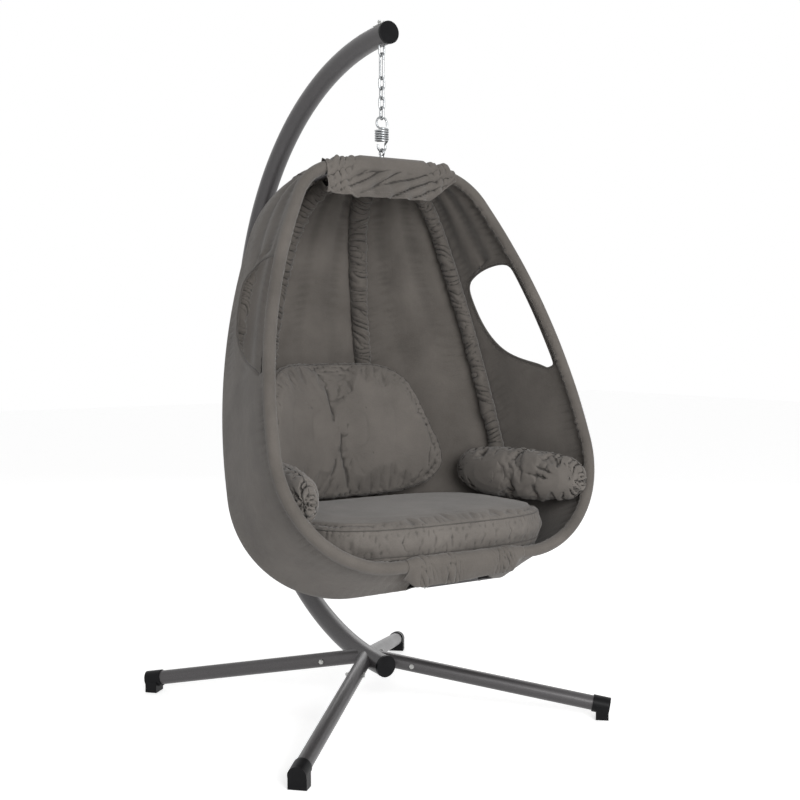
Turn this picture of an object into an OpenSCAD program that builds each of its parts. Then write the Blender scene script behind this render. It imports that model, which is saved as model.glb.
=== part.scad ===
// Hanging egg chair: a curved pole on four legs carries a fabric basket on a chain and spring.
// X runs across the chair, the basket opens toward -Y, and the floor is z = 0.
// The origin lies on the floor, midway between the front and the back of the chair.

/* [Pole] */
// Outside diameter of the pole tube
pole_d = 60; // [50:1:70]
// Wall of the pole tube
pole_wall = 1.5; // [1.2:0.1:3]
// Radius of the pole's bend, on the tube's axis
pole_bend = 893; // [850:1:940]
// Angle of the pole's lower end, below the level of the bend's centre
pole_low_angle = -87.7; // [-89:0.1:-86]
// Angle of the pole's upper end, above the level of the bend's centre
pole_top_angle = 88.8; // [88:0.1:90]
// Distance from the legs' meeting point forward to the pole's lower end
pole_low_ahead = 92; // [80:1:110]
// Height of the pole's lower end
pole_low_z = 142; // [135:1:150]
// Angle at which the two halves of the pole meet
pole_joint_angle = 0; // [-10:1:10]
// Reach of the inner coupler each way from that joint, in degrees of the bend
coupler_reach = 6; // [4:0.5:9]
// Angle from the joint to each coupler bolt
coupler_bolt_angle = 3.5; // [2:0.5:4]
// Diameter of the coupler bolts
coupler_bolt_d = 8; // [6:1:10]
// Diameter of the flange of the pole's end caps
cap_d = 63; // [61:1:75]
// Thickness of that flange
cap_flange = 8; // [4:1:14]
// Depth of the cap's plug in the pole
cap_plug = 20; // [10:1:30]

/* [Legs] */
// Outside diameter of the leg tubes
leg_d = 42; // [36:1:48]
// Wall of the leg tubes
leg_wall = 1.5; // [1.2:0.1:3]
// Height at which the four leg axes meet
hub_z = 154; // [146:1:160]
// Distance from there to the end of a leg, measured level
leg_reach = 697; // [600:1:800]
// Height of a leg's axis at its end
leg_end_z = 35; // [28:1:45]
// Angle of the front legs from the X axis
front_leg_angle = 43.2; // [35:0.1:55]
// Angle of the rear legs from the X axis
rear_leg_angle = 48.7; // [35:0.1:55]
// Distance from the meeting point to the end of a welded stub
stub_reach = 120; // [100:1:150]
// Length of the spigot that stands out of a stub
spigot_length = 60; // [40:1:90]
// Distance from the stub's end to the leg bolt
leg_bolt_offset = 16; // [12:1:30]
// Diameter of the leg bolts
leg_bolt_d = 8; // [6:1:10]
// Wall of the foot caps
foot_wall = 3; // [2:0.5:5]
// Length of tube that a foot cap covers
foot_cover = 46; // [30:1:60]
// Length of the foot's pad
foot_pad_length = 36; // [25:1:45]

/* [Hanger and chain] */
// Distance from the legs' meeting point forward to the hanging point
hang_ahead = 78; // [70:1:85]
// Diameter of the wire of the U-bolt, the links and the eye
wire_d = 6; // [5:0.5:6.5]
// Drop from the pole's axis to the U-bolt's lowest wire
ubolt_drop = 56.4; // [50:0.1:65]
// Distance between the axes of the U-bolt's legs
ubolt_width = 16; // [15:0.5:20]
// Length of the U-bolt above the pole
ubolt_rise = 10; // [9:1:14]
// Play between two wires that bear on each other
wire_play = 0.4; // [0.3:0.1:0.8]
// Length of the long link over all
long_link_length = 78; // [60:1:100]
// Width of the long link over all
long_link_width = 23; // [21:0.5:28]
// Length of a chain link over all
link_length = 40; // [37:0.5:50]
// Width of a chain link over all
link_width = 21.5; // [21:0.5:28]

/* [Spring] */
// Outside diameter of the spring's body
spring_d = 40.8; // [34:0.2:46]
// Rise of the spring a turn
spring_pitch = 6.6; // [6.6:0.1:8]
// Whole turns of the spring's body
spring_turns = 5; // [4:1:8]
// Radius of the lower hook, on the wire's axis
lower_hook_r = 13; // [12:0.5:16]

/* [Basket frame] */
// Radius of the eye that the spring holds, on the wire's axis
eye_r = 10; // [9.5:0.5:13]
// Height of the eye's centre above the level of the hoop's top
eye_rise = 50; // [44:1:60]
// Diameter of the eye bolt's shank
eye_shank_d = 8; // [6:1:10]
// Outside diameter of the hoop's tube
rim_d = 25; // [22:1:28]
// Outside diameter of the ribs' tubes
rib_d = 22; // [18:1:24]
// Wall of the hoop's and ribs' tubes
frame_wall = 1.5; // [1:0.1:2]
// Lean of the basket's axis toward the back at the top
tilt = 18.78; // [17:0.1:20]
// Distance from the hanging point forward to the basket's centre
basket_ahead = 223; // [215:1:230]
// Distance from the hoop's top down to the basket's centre
basket_drop = 550; // [545:1:555]
// Angle of the corner ribs, from the hoop's plane
corner_rib_angle = 36.5; // [33:0.5:40]
// Angle of the rear ribs, from the hoop's plane
rear_rib_angle = 73; // [71:0.5:76]
// Width of the top plate
top_plate_w = 280; // [270:1:300]
// Thickness of the top and bottom plates
plate_t = 4; // [3:0.5:5]
// Diameter of the frame bolts
frame_bolt_d = 6; // [5:0.5:7]
// Length of the frame bolts under the head
frame_bolt_l = 35; // [34.5:0.5:38]

/* [Soft goods] */
// Thickness of the basket's fabric
cloth_t = 3; // [2:0.5:4]
// Outside diameter of the gathered sleeves on the ribs
sleeve_d = 38; // [30:1:41]
// Depth of the folds in the top cover's front
fold_depth = 9; // [0:0.5:14]
// Half the width of the seat cushion
seat_half_w = 376; // [340:1:380]
// Half the depth of the seat cushion
seat_half_d = 250; // [220:1:254]
// Height of the seat cushion's side between its two seams
seat_side = 74; // [50:1:84]
// Rise of the seat cushion's top over the upper seam
seat_crown = 24; // [10:1:32]
// Half the width of the back cushion
back_half_w = 325; // [300:1:330]
// Half the height of the back cushion
back_half_h = 203; // [160:1:210]
// Half the length of an arm pillow
arm_half_l = 235; // [200:1:240]
// Half the height of an arm pillow
arm_half_h = 76; // [60:1:78]
// Half the thickness of an arm pillow
arm_puff = 60; // [40:1:62]

/* [Hidden] */
$fn = 48;

// Clearances
slip = 0.3;
hole_play = 0.4;
thread_play = 0.1;
run_lap = 0.5;
run_relief = 0.15;

// Colours
metal = "#4b4a4c";
plastic = "#1d1d1e";
steel = "#b9bcc0";
cloth = "#68645f";
sleeve_cloth = "#5d5a56";
cushion_cloth = "#6a6661";

// Pole and legs
pole_r = pole_d / 2;
leg_slope = atan((hub_z - leg_end_z) / leg_reach);
leg_end = leg_reach / cos(leg_slope);
foot_cap_r = leg_d / 2 + slip + foot_wall;
front_way = cos(leg_slope) * sin(front_leg_angle);
front_reach = (leg_end + foot_wall) * front_way + foot_cap_r * sqrt(1 - front_way * front_way);
back_reach = pole_bend * (1 - cos(pole_low_angle)) - pole_low_ahead + pole_r;
hub_y = (front_reach - back_reach) / 2;
bend_y = hub_y - pole_low_ahead - pole_bend * cos(pole_low_angle);
bend_z = pole_low_z - pole_bend * sin(pole_low_angle);
hang_y = hub_y - hang_ahead;
hang_angle = acos((hang_y - bend_y) / pole_bend);
hang_z = bend_z + pole_bend * sin(hang_angle);
spigot_d = leg_d - 2 * leg_wall - 2 * slip;
spigot_end = stub_reach + spigot_length;
leg_bolt_x = stub_reach + leg_bolt_offset;

// Heights along the chain, each at the axis of a wire
saddle_t = 2.2;
nut_h = 5;
ubolt_z = hang_z - ubolt_drop;
wire_step = wire_d + wire_play;
long_top_z = ubolt_z + wire_step;
long_low_z = long_top_z - long_link_length + wire_d;
link_step = link_length - wire_d - wire_step;
spring_top_z = long_low_z - 4 * link_step + wire_step;
coil_r = (spring_d - wire_d) / 2;
hook_start = 205;
coil_start = 250;
coil_sweep = 360 * spring_turns + 2 * (270 - coil_start);
hook_lead = 9.65;
body_top_z = spring_top_z - coil_r * (1 - sin(hook_start)) - hook_lead;
body_low_z = body_top_z - spring_pitch * coil_sweep / 360;
lower_hook_z = body_low_z - hook_lead + lower_hook_r * sin(hook_start);
spring_low_z = lower_hook_z - lower_hook_r;
eye_z = spring_low_z + wire_step - eye_r;
frame_z = eye_z - eye_rise;

// Basket profiles, as radius and height along its leaning axis
rim_r = rim_d / 2;
rib_r = rib_d / 2;
plate_z = rim_r;
rib_top_z = plate_z - rib_r;
rib_low_z = -1095;
rim_top_s = basket_drop / cos(tilt);
rim_path = [[0, rim_top_s], [258, rim_top_s], [494, 136], [518, -522], [0, -522]];
rim_bends = [171, 1546, 290];
corner_path = [
    for (r = [70, 302]) [r, lean_height(r, corner_rib_angle, rib_top_z)],
    [543, 120], [574, -526],
    for (r = [160, 80]) [r, lean_height(r, corner_rib_angle, rib_low_z)]
];
corner_bends = [268, 1700, 274, 120];
rear_path = [
    for (r = [70, 295]) [r, lean_height(r, rear_rib_angle, rib_top_z)],
    [631, 166], [657, -452],
    for (r = [130, 50]) [r, lean_height(r, rear_rib_angle, rib_low_z)]
];
rear_bends = [275, 1350, 258, 150];
rim_low_y = on_frame(0, 0, rim_path[4].y).y;
rim_low_z = on_frame(0, 0, rim_path[4].y).z;
rim_top_y = on_frame(0, 0, rim_path[0].y).y;

// Bolt places on the basket frame
bolt_head_h = 3;
bolt_head_d = 12;
nut_w = 10;
rim_bolt_x = 60;
rim_low_bolt_x = 40;
top_bolt_r = 82;
low_corner_bolt_r = 112;
low_rear_bolt_r = 90;
bracket_z = rib_low_z - rib_r;
flange_z = rim_low_z - rim_r;

// Gathered sleeves run between these radii of a rib's path
sleeve_r = sleeve_d / 2;
sleeve_top = 262;
sleeve_low = 175;

// Fabric grid
shell_rows = 36;
window_edge = 0.045;
window_wide = 0.83;
window_first = 9;
window_last = 17;

// ---- Functions ----

function unit(v) = v / norm(v);
function blend(a, b, t) = a * (1 - t) + b * t;
function reversed(list) = [for (i = [len(list) - 1:-1:0]) list[i]];

// Height along the leaning axis of a point at a given radius, rib angle and true height
function lean_height(r, angle, z) =
    (z + basket_drop + r * sin(angle) * sin(tilt)) / cos(tilt);

// A point of the basket, from its radius, angle and height along the leaning axis
function on_frame(r, angle, s) = [
    r * cos(angle),
    s * sin(tilt) + r * sin(angle) * cos(tilt) - basket_ahead,
    s * cos(tilt) - r * sin(angle) * sin(tilt) - basket_drop
];

// Turn at corner i of a path, in degrees, left positive
function turn(path, i) =
    let (a = path[i] - path[i - 1], b = path[i + 1] - path[i])
    atan2(a.x * b.y - a.y * b.x, a * b);

// Length that the bend at corner i takes off each of its two sides
function setback(path, bends, i) =
    i == 0 || i == len(path) - 1 ? 0 : bends[i - 1] * tan(abs(turn(path, i)) / 2);

function bend_centre(path, bends, i) =
    let (
        a = unit(path[i] - path[i - 1]),
        side = sign(turn(path, i)),
        start = path[i] - a * setback(path, bends, i)
    )
    start + side * bends[i - 1] * [-a.y, a.x];

function bend_start(path, i) =
    let (a = path[i] - path[i - 1])
    atan2(a.y, a.x) - 90 * sign(turn(path, i));

// Points along a path with its corners bent round
function rounded(path, bends, steps) = [
    path[0],
    for (i = [1:len(path) - 2])
        let (c = bend_centre(path, bends, i), a = bend_start(path, i), t = turn(path, i))
        for (k = [0:steps])
            c + bends[i - 1] * [cos(a + t * k / steps), sin(a + t * k / steps)],
    path[len(path) - 1]
];

// Running length of a line of points
function running(points) = [
    for (i = 0, total = 0; i < len(points); i = i + 1,
        total = total + (i < len(points) ? norm(points[i] - points[i - 1]) : 0)) total
];

// The point at a given length along a line of points
function at_length(points, lengths, d) =
    let (
        k = max([for (i = [0:len(lengths) - 2]) if (lengths[i] <= d) i]),
        span = lengths[k + 1] - lengths[k]
    )
    blend(points[k], points[k + 1], (d - lengths[k]) / max(span, 0.001));

// Superellipse outline
function squircle(a, b, power, angle) = [
    a * sign(cos(angle)) * pow(abs(cos(angle)), 2 / power),
    b * sign(sin(angle)) * pow(abs(sin(angle)), 2 / power)
];

// ---- Shared shapes ----

// A round rod along a bent path in the XY plane.
// Straight runs are a hair thinner than the bends and reach a little way into them.
module bent_rod(path, bends, r) {
    last = len(path) - 2;
    for (i = [0:last]) {
        dir = path[i + 1] - path[i];
        start = i == 0 ? 0 : setback(path, bends, i) - run_lap;
        end = i == last ? 0 : setback(path, bends, i + 1) - run_lap;
        from = path[i] + unit(dir) * start;
        translate([from.x, from.y, 0])
            rotate([0, 0, atan2(dir.y, dir.x)])
                rotate([0, 90, 0])
                    cylinder(h = norm(dir) - start - end, r = r - run_relief);
    }
    for (i = [1:last]) {
        c = bend_centre(path, bends, i);
        t = turn(path, i);
        translate([c.x, c.y, 0])
            rotate([0, 0, bend_start(path, i) + min(t, 0)])
                rotate_extrude(angle = abs(t), $fn = 180)
                    translate([bends[i - 1], 0])
                        circle(r = r);
    }
}

// Stands a flat path in the upright plane at an angle about the basket's leaning axis
module on_rib_plane(angle) {
    translate([0, -basket_ahead, -basket_drop])
        rotate([-tilt, 0, 0])
            rotate([0, 0, angle])
                rotate([90, 0, 0])
                    children();
}

module at_frame() {
    translate([0, hang_y, frame_z])
        children();
}

module pole_arc(from, to, r) {
    translate([0, bend_y, bend_z])
        rotate([90, 0, 90])
            rotate([0, 0, from])
                rotate_extrude(angle = to - from, $fn = 360)
                    translate([pole_bend, 0])
                        circle(r = r);
}

// Puts a piece on the pole's axis at an angle of the bend, with Z along the pole
module on_pole(angle) {
    translate([0, bend_y + pole_bend * cos(angle), bend_z + pole_bend * sin(angle)])
        rotate([angle, 0, 0])
            children();
}

// Puts a piece on a leg's axis, with X running down the leg
module on_leg(angle) {
    translate([0, hub_y, hub_z])
        rotate([0, 0, angle])
            rotate([0, leg_slope, 0])
                children();
}

module along_x(from, to, r) {
    translate([from, 0, 0])
        rotate([0, 90, 0])
            cylinder(h = to - from, r = r);
}

// A bolt that hangs down from its head's seat
module bolt(d, long, head_d, head_h) {
    translate([0, 0, -long])
        cylinder(h = long, d = d);
    cylinder(h = head_h, d = head_d);
}

// A nut whose upper face is at z = 0
module nut(d, width, high) {
    translate([0, 0, -high])
        difference() {
            cylinder(h = high, d = width / cos(30), $fn = 6);
            translate([0, 0, -1])
                cylinder(h = high + 2, d = d + 2 * thread_play);
        }
}

// A link in the XZ plane, with the axis of its top wire at z = 0
module link(long, wide) {
    r = (wide - wire_d) / 2;
    straight = long - wide;
    for (end = [0, 1])
        translate([0, 0, -r - end * straight])
            rotate([90, 0, 0])
                rotate([0, 0, 180 * end])
                    rotate_extrude(angle = 180, $fn = 72)
                        translate([r, 0])
                            circle(d = wire_d);
    for (side = [-1, 1])
        translate([side * r, 0, -r - straight])
            cylinder(h = straight, d = wire_d);
}

// A sheet on a grid of points: outer and inner faces, with some cells left open
module sheet(outer, inner, is_open) {
    rows = len(outer);
    cols = len(outer[0]);
    at = function(face, i, j) (face * rows + i) * cols + j;
    held = function(i, j)
        i >= 0 && j >= 0 && i < rows - 1 && j < cols - 1 && !is_open(i, j);
    wall = function(i, j, k, l) [
        [at(0, k, l), at(0, i, j), at(1, i, j)],
        [at(0, k, l), at(1, i, j), at(1, k, l)]
    ];
    polyhedron(
        points = [for (face = [outer, inner]) for (row = face) each row],
        faces = [
            for (i = [0:rows - 2]) for (j = [0:cols - 2]) if (held(i, j)) each [
                [at(0, i, j), at(0, i, j + 1), at(0, i + 1, j + 1)],
                [at(0, i, j), at(0, i + 1, j + 1), at(0, i + 1, j)],
                [at(1, i, j), at(1, i + 1, j + 1), at(1, i, j + 1)],
                [at(1, i, j), at(1, i + 1, j), at(1, i + 1, j + 1)],
                each held(i - 1, j) ? [] : wall(i, j, i, j + 1),
                each held(i, j + 1) ? [] : wall(i, j + 1, i + 1, j + 1),
                each held(i + 1, j) ? [] : wall(i + 1, j + 1, i + 1, j),
                each held(i, j - 1) ? [] : wall(i + 1, j, i, j)
            ]
        ]
    );
}

// A tube of six sides swept along a line of points
module swept_tube(points, r) {
    n = len(points);
    sides = 6;
    ways = [for (i = [0:n - 1]) unit(points[min(i + 1, n - 1)] - points[max(i - 1, 0)])];
    sideways = [
        for (i = 0, u = unit(cross(ways[0], [0, 1, 0])); i < n; i = i + 1,
            u = i < n ? unit(u - (u * ways[i]) * ways[i]) : u) u
    ];
    polyhedron(
        points = [
            for (i = [0:n - 1]) for (k = [0:sides - 1])
                points[i] + r * (cos(60 * k) * sideways[i]
                    + sin(60 * k) * cross(ways[i], sideways[i]))
        ],
        faces = [
            for (k = [1:sides - 2]) [0, k, k + 1],
            for (k = [1:sides - 2]) [(n - 1) * sides, (n - 1) * sides + k + 1, (n - 1) * sides + k],
            for (i = [0:n - 2]) for (k = [0:sides - 1]) each
                let (
                    a = i * sides + k,
                    b = i * sides + (k + 1) % sides
                )
                [[a, a + sides, b + sides], [a, b + sides, b]]
        ]
    );
}

// A stuffed cushion in the XY plane: crowned faces, and a boxed side drawn in at its two seams.
// Its ends curl up to follow a curved wall.
module cushion(half_w, half_d, power, top, side, low, sharp = 3, curl = 0) {
    n = 48;
    swell = function(p) pow(1 - pow(p, sharp), 0.55);
    shares = [0.3, 0.55, 0.75, 0.9, 0.975];
    rings = concat(
        [for (p = shares) [p, top * swell(p)]],
        [[1, 0]],
        side > 0 ? [[1.012, -side * 0.25], [1.012, -side * 0.75], [1, -side]] : [],
        [for (p = reversed(shares)) [p, -side - low * swell(p)]]
    );
    last = n * len(rings) + 1;
    polyhedron(
        points = [
            [0, 0, top],
            for (ring = rings) for (k = [0:n - 1])
                let (p = ring[0] * squircle(half_w, half_d, power, 360 * k / n))
                [p.x, p.y, ring[1] + curl * pow(p.x / half_w, 2)],
            [0, 0, -side - low]
        ],
        faces = [
            for (k = [0:n - 1]) [0, 1 + (k + 1) % n, 1 + k],
            for (k = [0:n - 1]) [last, last - n + k, last - n + (k + 1) % n],
            for (i = [0:len(rings) - 2]) for (k = [0:n - 1]) each
                let (
                    a = 1 + i * n + k,
                    b = 1 + i * n + (k + 1) % n
                )
                [[a, b, b + n], [a, b + n, a + n]]
        ]
    );
}

// ---- Stand ----

module coupler_bolt_places() {
    for (side = [-1, 1])
        on_pole(pole_joint_angle + side * coupler_bolt_angle)
            rotate([0, 90, 0])
                children();
}

module coupler_bolt_holes() {
    coupler_bolt_places()
        cylinder(h = pole_d + 20, d = coupler_bolt_d + hole_play, center = true);
}

leg_angles = [
    180 + front_leg_angle, -front_leg_angle, 180 - rear_leg_angle, rear_leg_angle
];

module leg_bolt_hole() {
    translate([leg_bolt_x, 0, 0])
        rotate([90, 0, 0])
            cylinder(h = leg_d + 20, d = leg_bolt_d + hole_play, center = true);
}

module pole_lower() {
    color(metal)
        difference() {
            union() {
                difference() {
                    union() {
                        pole_arc(pole_low_angle, pole_joint_angle, pole_r);
                        for (a = leg_angles)
                            on_leg(a)
                                along_x(0, stub_reach, leg_d / 2);
                    }
                    for (a = leg_angles)
                        on_leg(a)
                            along_x(pole_r * 1.3, stub_reach + 1, leg_d / 2 - leg_wall);
                }
                for (a = leg_angles)
                    on_leg(a)
                        difference() {
                            along_x(stub_reach - 20, spigot_end, spigot_d / 2);
                            along_x(stub_reach - 21, spigot_end + 1, spigot_d / 2 - leg_wall);
                            leg_bolt_hole();
                        }
                for (a = leg_angles)
                    on_leg(a)
                        translate([stub_reach - 20, 0, 0])
                            rotate([0, 90, 0])
                                difference() {
                                    cylinder(h = 6, r = leg_d / 2 - leg_wall / 2);
                                    translate([0, 0, -1])
                                        cylinder(h = 8, r = spigot_d / 2 - leg_wall / 2);
                                }
            }
            pole_arc(pole_low_angle - 1, pole_joint_angle + 1, pole_r - pole_wall);
            coupler_bolt_holes();
        }
}

module pole_upper() {
    color(metal)
        difference() {
            pole_arc(pole_joint_angle, pole_top_angle, pole_r);
            pole_arc(pole_joint_angle - 1, pole_top_angle + 1, pole_r - pole_wall);
            coupler_bolt_holes();
            for (side = [-1, 1])
                translate([side * ubolt_width / 2, hang_y, hang_z - pole_r - 10])
                    cylinder(h = pole_d + 20, d = wire_d + hole_play);
        }
}

module pole_coupler() {
    outer = pole_r - pole_wall - slip;
    from = pole_joint_angle - coupler_reach;
    to = pole_joint_angle + coupler_reach;
    color(metal)
        difference() {
            pole_arc(from, to, outer);
            pole_arc(from - 1, to + 1, outer - 2);
            coupler_bolt_holes();
        }
}

module pole_bolts() {
    color(steel)
        coupler_bolt_places()
            translate([0, 0, pole_r])
                bolt(coupler_bolt_d, pole_d + 9, coupler_bolt_d * 1.7, 4);
}

module pole_nuts() {
    color(steel)
        coupler_bolt_places()
            translate([0, 0, -pole_r])
                nut(coupler_bolt_d, 13, 6.5);
}

// A plastic cap whose flange bears on the end of the pole
module pole_cap() {
    color(plastic) {
        cylinder(h = cap_flange, d = cap_d);
        translate([0, 0, -cap_plug])
            cylinder(h = cap_plug, r = pole_r - pole_wall - slip);
    }
}

module pole_top_cap() {
    on_pole(pole_top_angle)
        pole_cap();
}

module pole_bottom_cap() {
    on_pole(pole_low_angle)
        rotate([180, 0, 0])
            pole_cap();
}

module leg(angle) {
    color(metal)
        on_leg(angle)
            difference() {
                along_x(stub_reach, leg_end, leg_d / 2);
                along_x(stub_reach - 1, leg_end + 1, leg_d / 2 - leg_wall);
                leg_bolt_hole();
            }
}

module leg_front_left() {
    leg(leg_angles[0]);
}

module leg_front_right() {
    leg(leg_angles[1]);
}

module leg_rear_left() {
    leg(leg_angles[2]);
}

module leg_rear_right() {
    leg(leg_angles[3]);
}

// Turns a bolt so that its head is on the leg's outer front or rear side
module leg_bolt_places() {
    for (i = [0:3])
        on_leg(leg_angles[i])
            translate([leg_bolt_x, 0, 0])
                rotate([i == 0 || i == 3 ? -90 : 90, 0, 0])
                    children();
}

module leg_bolts() {
    color(steel)
        leg_bolt_places()
            translate([0, 0, leg_d / 2])
                bolt(leg_bolt_d, leg_d + 9, leg_bolt_d * 1.7, 4);
}

module leg_nuts() {
    color(steel)
        leg_bolt_places()
            translate([0, 0, -leg_d / 2])
                nut(leg_bolt_d, 13, 6.5);
}

// A cap over the leg's end, with a pad that brings it down to the floor
module foot(angle) {
    start = leg_end - foot_cover;
    color(plastic)
        difference() {
            union() {
                on_leg(angle)
                    along_x(start, leg_end + foot_wall, foot_cap_r);
                translate([0, hub_y, 0])
                    rotate([0, 0, angle])
                        translate([leg_reach - foot_pad_length, -foot_cap_r, 0])
                            cube([foot_pad_length, 2 * foot_cap_r, leg_end_z]);
            }
            on_leg(angle)
                along_x(start - 1, leg_end, leg_d / 2 + slip);
        }
}

module foot_front_left() {
    foot(leg_angles[0]);
}

module foot_front_right() {
    foot(leg_angles[1]);
}

module foot_rear_left() {
    foot(leg_angles[2]);
}

module foot_rear_right() {
    foot(leg_angles[3]);
}

// ---- Hanger, chain and spring ----

ubolt_seat_z = hang_z + pole_r + slip + saddle_t;

module hanger_ubolt() {
    r = ubolt_width / 2;
    color(steel)
        translate([0, hang_y, ubolt_z + r]) {
            rotate([90, 0, 0])
                rotate([0, 0, 180])
                    rotate_extrude(angle = 180, $fn = 72)
                        translate([r, 0])
                            circle(d = wire_d);
            for (side = [-1, 1])
                translate([side * r, 0, 0])
                    cylinder(h = ubolt_seat_z + ubolt_rise - 2 - ubolt_z - r, d = wire_d);
        }
}

// A curved plate on the pole under the U-bolt's nuts
module hanger_saddle() {
    color(steel)
        translate([0, hang_y, hang_z])
            difference() {
                rotate([90 - (90 - hang_angle), 0, 0])
                    intersection() {
                        difference() {
                            cylinder(h = 26, r = pole_r + slip + saddle_t, center = true);
                            cylinder(h = 30, r = pole_r + slip, center = true);
                        }
                        translate([0, pole_r + 4, 0])
                            cube([40, 24, 40], center = true);
                    }
                for (side = [-1, 1])
                    translate([side * ubolt_width / 2, 0, 0])
                        cylinder(h = pole_d, d = wire_d + hole_play);
            }
}

module hanger_nuts() {
    color(steel)
        for (side = [-1, 1])
            translate([side * ubolt_width / 2, hang_y, ubolt_seat_z + nut_h + slip])
                nut(wire_d, nut_w, nut_h);
}

module long_link() {
    color(steel)
        translate([0, hang_y, long_top_z])
            rotate([0, 0, 90])
                link(long_link_length, long_link_width);
}

// Links lie across and along in turn; link 1 lies across
module chain_link(number) {
    color(steel)
        translate([0, hang_y, long_low_z + wire_step - (number - 1) * link_step])
            rotate([0, 0, number % 2 == 0 ? 90 : 0])
                link(link_length, link_width);
}

module chain_link_1() {
    chain_link(1);
}

module chain_link_2() {
    chain_link(2);
}

module chain_link_3() {
    chain_link(3);
}

module chain_link_4() {
    chain_link(4);
}

// Points of a smooth run between two points with given directions
function bridge(p, p_way, q, q_way, steps) = [
    for (k = [1:steps - 1])
        let (t = k / steps)
        (2 * t * t * t - 3 * t * t + 1) * p + (t * t * t - 2 * t * t + t) * p_way
            + (3 * t * t - 2 * t * t * t) * q + (t * t * t - t * t) * q_way
];

top_hook_centre = spring_top_z - coil_r;
top_hook_points = [
    [coil_r, 0, top_hook_centre - coil_r * sin(4) - wire_d],
    for (k = [0:15])
        let (a = blend(-4, hook_start, k / 15))
        [coil_r * cos(a), 0, top_hook_centre + coil_r * sin(a)]
];
coil_steps = spring_turns * 8 + 1;
coil_points = [
    for (k = [0:coil_steps])
        let (
            share = k / coil_steps,
            a = coil_start + coil_sweep * share
        )
        [coil_r * cos(a), coil_r * sin(a), blend(body_top_z, body_low_z, share)]
];
low_hook_points = [
    for (k = [0:15])
        let (a = blend(hook_start - 180, -180, k / 15))
        [lower_hook_r * cos(a), 0, lower_hook_z + lower_hook_r * sin(a)],
    [-lower_hook_r, 0, lower_hook_z + wire_d]
];
hook_way = [-sin(hook_start), 0, cos(hook_start)];
coil_end = coil_start + coil_sweep;
spring_points = concat(
    top_hook_points,
    bridge(
        top_hook_points[len(top_hook_points) - 1], 26 * hook_way,
        coil_points[0], 26 * [-sin(coil_start), cos(coil_start), 0], 5
    ),
    coil_points,
    bridge(
        coil_points[len(coil_points) - 1], 26 * [-sin(coil_end), cos(coil_end), 0],
        low_hook_points[0], 22 * [hook_way.x, 0, hook_way.z], 5
    ),
    low_hook_points
);
spring_gap = min([
    for (i = [0:len(spring_points) - 6]) for (j = [i + 5:len(spring_points) - 1])
        norm(spring_points[i] - spring_points[j])
]) - wire_d;
echo(spring_gap = spring_gap);

module spring() {
    color(steel)
        translate([0, hang_y, 0])
            swept_tube(spring_points, wire_d / 2);
}

module eye_bolt() {
    collar_d = 14;
    color(steel)
        at_frame() {
            translate([0, 0, eye_rise])
                rotate([90, 0, 90])
                    rotate_extrude($fn = 72)
                        translate([eye_r, 0])
                            circle(d = wire_d);
            difference() {
                union() {
                    translate([0, 0, plate_z + plate_t + 2])
                        cylinder(h = eye_rise - eye_r - plate_z - plate_t - 2, d = collar_d);
                    translate([0, 0, plate_z - 16])
                        cylinder(h = eye_rise - eye_r - plate_z + 10, d = eye_shank_d);
                }
                translate([0, 0, eye_rise])
                    rotate([0, 90, 0])
                        cylinder(h = collar_d + 2, r = eye_r, center = true);
            }
        }
}

module eye_washers() {
    color(steel)
        at_frame()
            for (z = [plate_z - 2, plate_z + plate_t])
                translate([0, 0, z])
                    difference() {
                        cylinder(h = 2, d = eye_shank_d * 3);
                        translate([0, 0, -1])
                            cylinder(h = 4, d = eye_shank_d + hole_play);
                    }
}

module eye_nut() {
    color(steel)
        at_frame()
            translate([0, 0, plate_z - 2])
                nut(eye_shank_d, 13, 7);
}

// ---- Basket frame ----

// Bolt places through the top plate: two on the hoop, one on each rib
module top_bolt_places() {
    for (side = [-1, 1])
        translate([side * rim_bolt_x, rim_top_y, plate_z + plate_t])
            children();
    for (angle = [corner_rib_angle, rear_rib_angle]) {
        p = on_frame(top_bolt_r, angle, lean_height(top_bolt_r, angle, rib_top_z));
        for (side = [-1, 1])
            translate([side * p.x, p.y, plate_z + plate_t])
                children();
    }
}

// Bolt places on the bottom bracket: each seat is on top of a tube
module low_rim_bolt_places() {
    for (side = [-1, 1])
        translate([side * rim_low_bolt_x, rim_low_y, rim_low_z + rim_r])
            children();
}

module low_rib_bolt_places() {
    for (rib = [[low_corner_bolt_r, corner_rib_angle], [low_rear_bolt_r, rear_rib_angle]]) {
        p = on_frame(rib[0], rib[1], lean_height(rib[0], rib[1], rib_low_z));
        for (side = [-1, 1])
            translate([side * p.x, p.y, rib_low_z + rib_r])
                children();
    }
}

module frame_bolt_holes() {
    d = frame_bolt_d + hole_play;
    top_bolt_places()
        translate([0, 0, -frame_bolt_l - 5])
            cylinder(h = frame_bolt_l + 10, d = d);
    low_rim_bolt_places()
        translate([0, 0, -frame_bolt_l - 5])
            cylinder(h = frame_bolt_l + 10, d = d);
    low_rib_bolt_places()
        translate([0, 0, -frame_bolt_l - 5])
            cylinder(h = frame_bolt_l + 10, d = d);
}

module top_plate() {
    front = rim_top_y - rim_r - 4;
    back = on_frame(top_bolt_r, rear_rib_angle, lean_height(top_bolt_r, rear_rib_angle, 0)).y + 12;
    cut = 30;
    half = top_plate_w / 2;
    color(metal)
        at_frame()
            difference() {
                translate([0, 0, plate_z])
                    linear_extrude(plate_t)
                        polygon([
                            [-half, front], [half, front], [half, back - cut],
                            [half - cut, back], [cut - half, back], [-half, back - cut]
                        ]);
                translate([0, 0, plate_z - 1])
                    cylinder(h = plate_t + 2, d = eye_shank_d + hole_play);
                frame_bolt_holes();
            }
}

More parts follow.
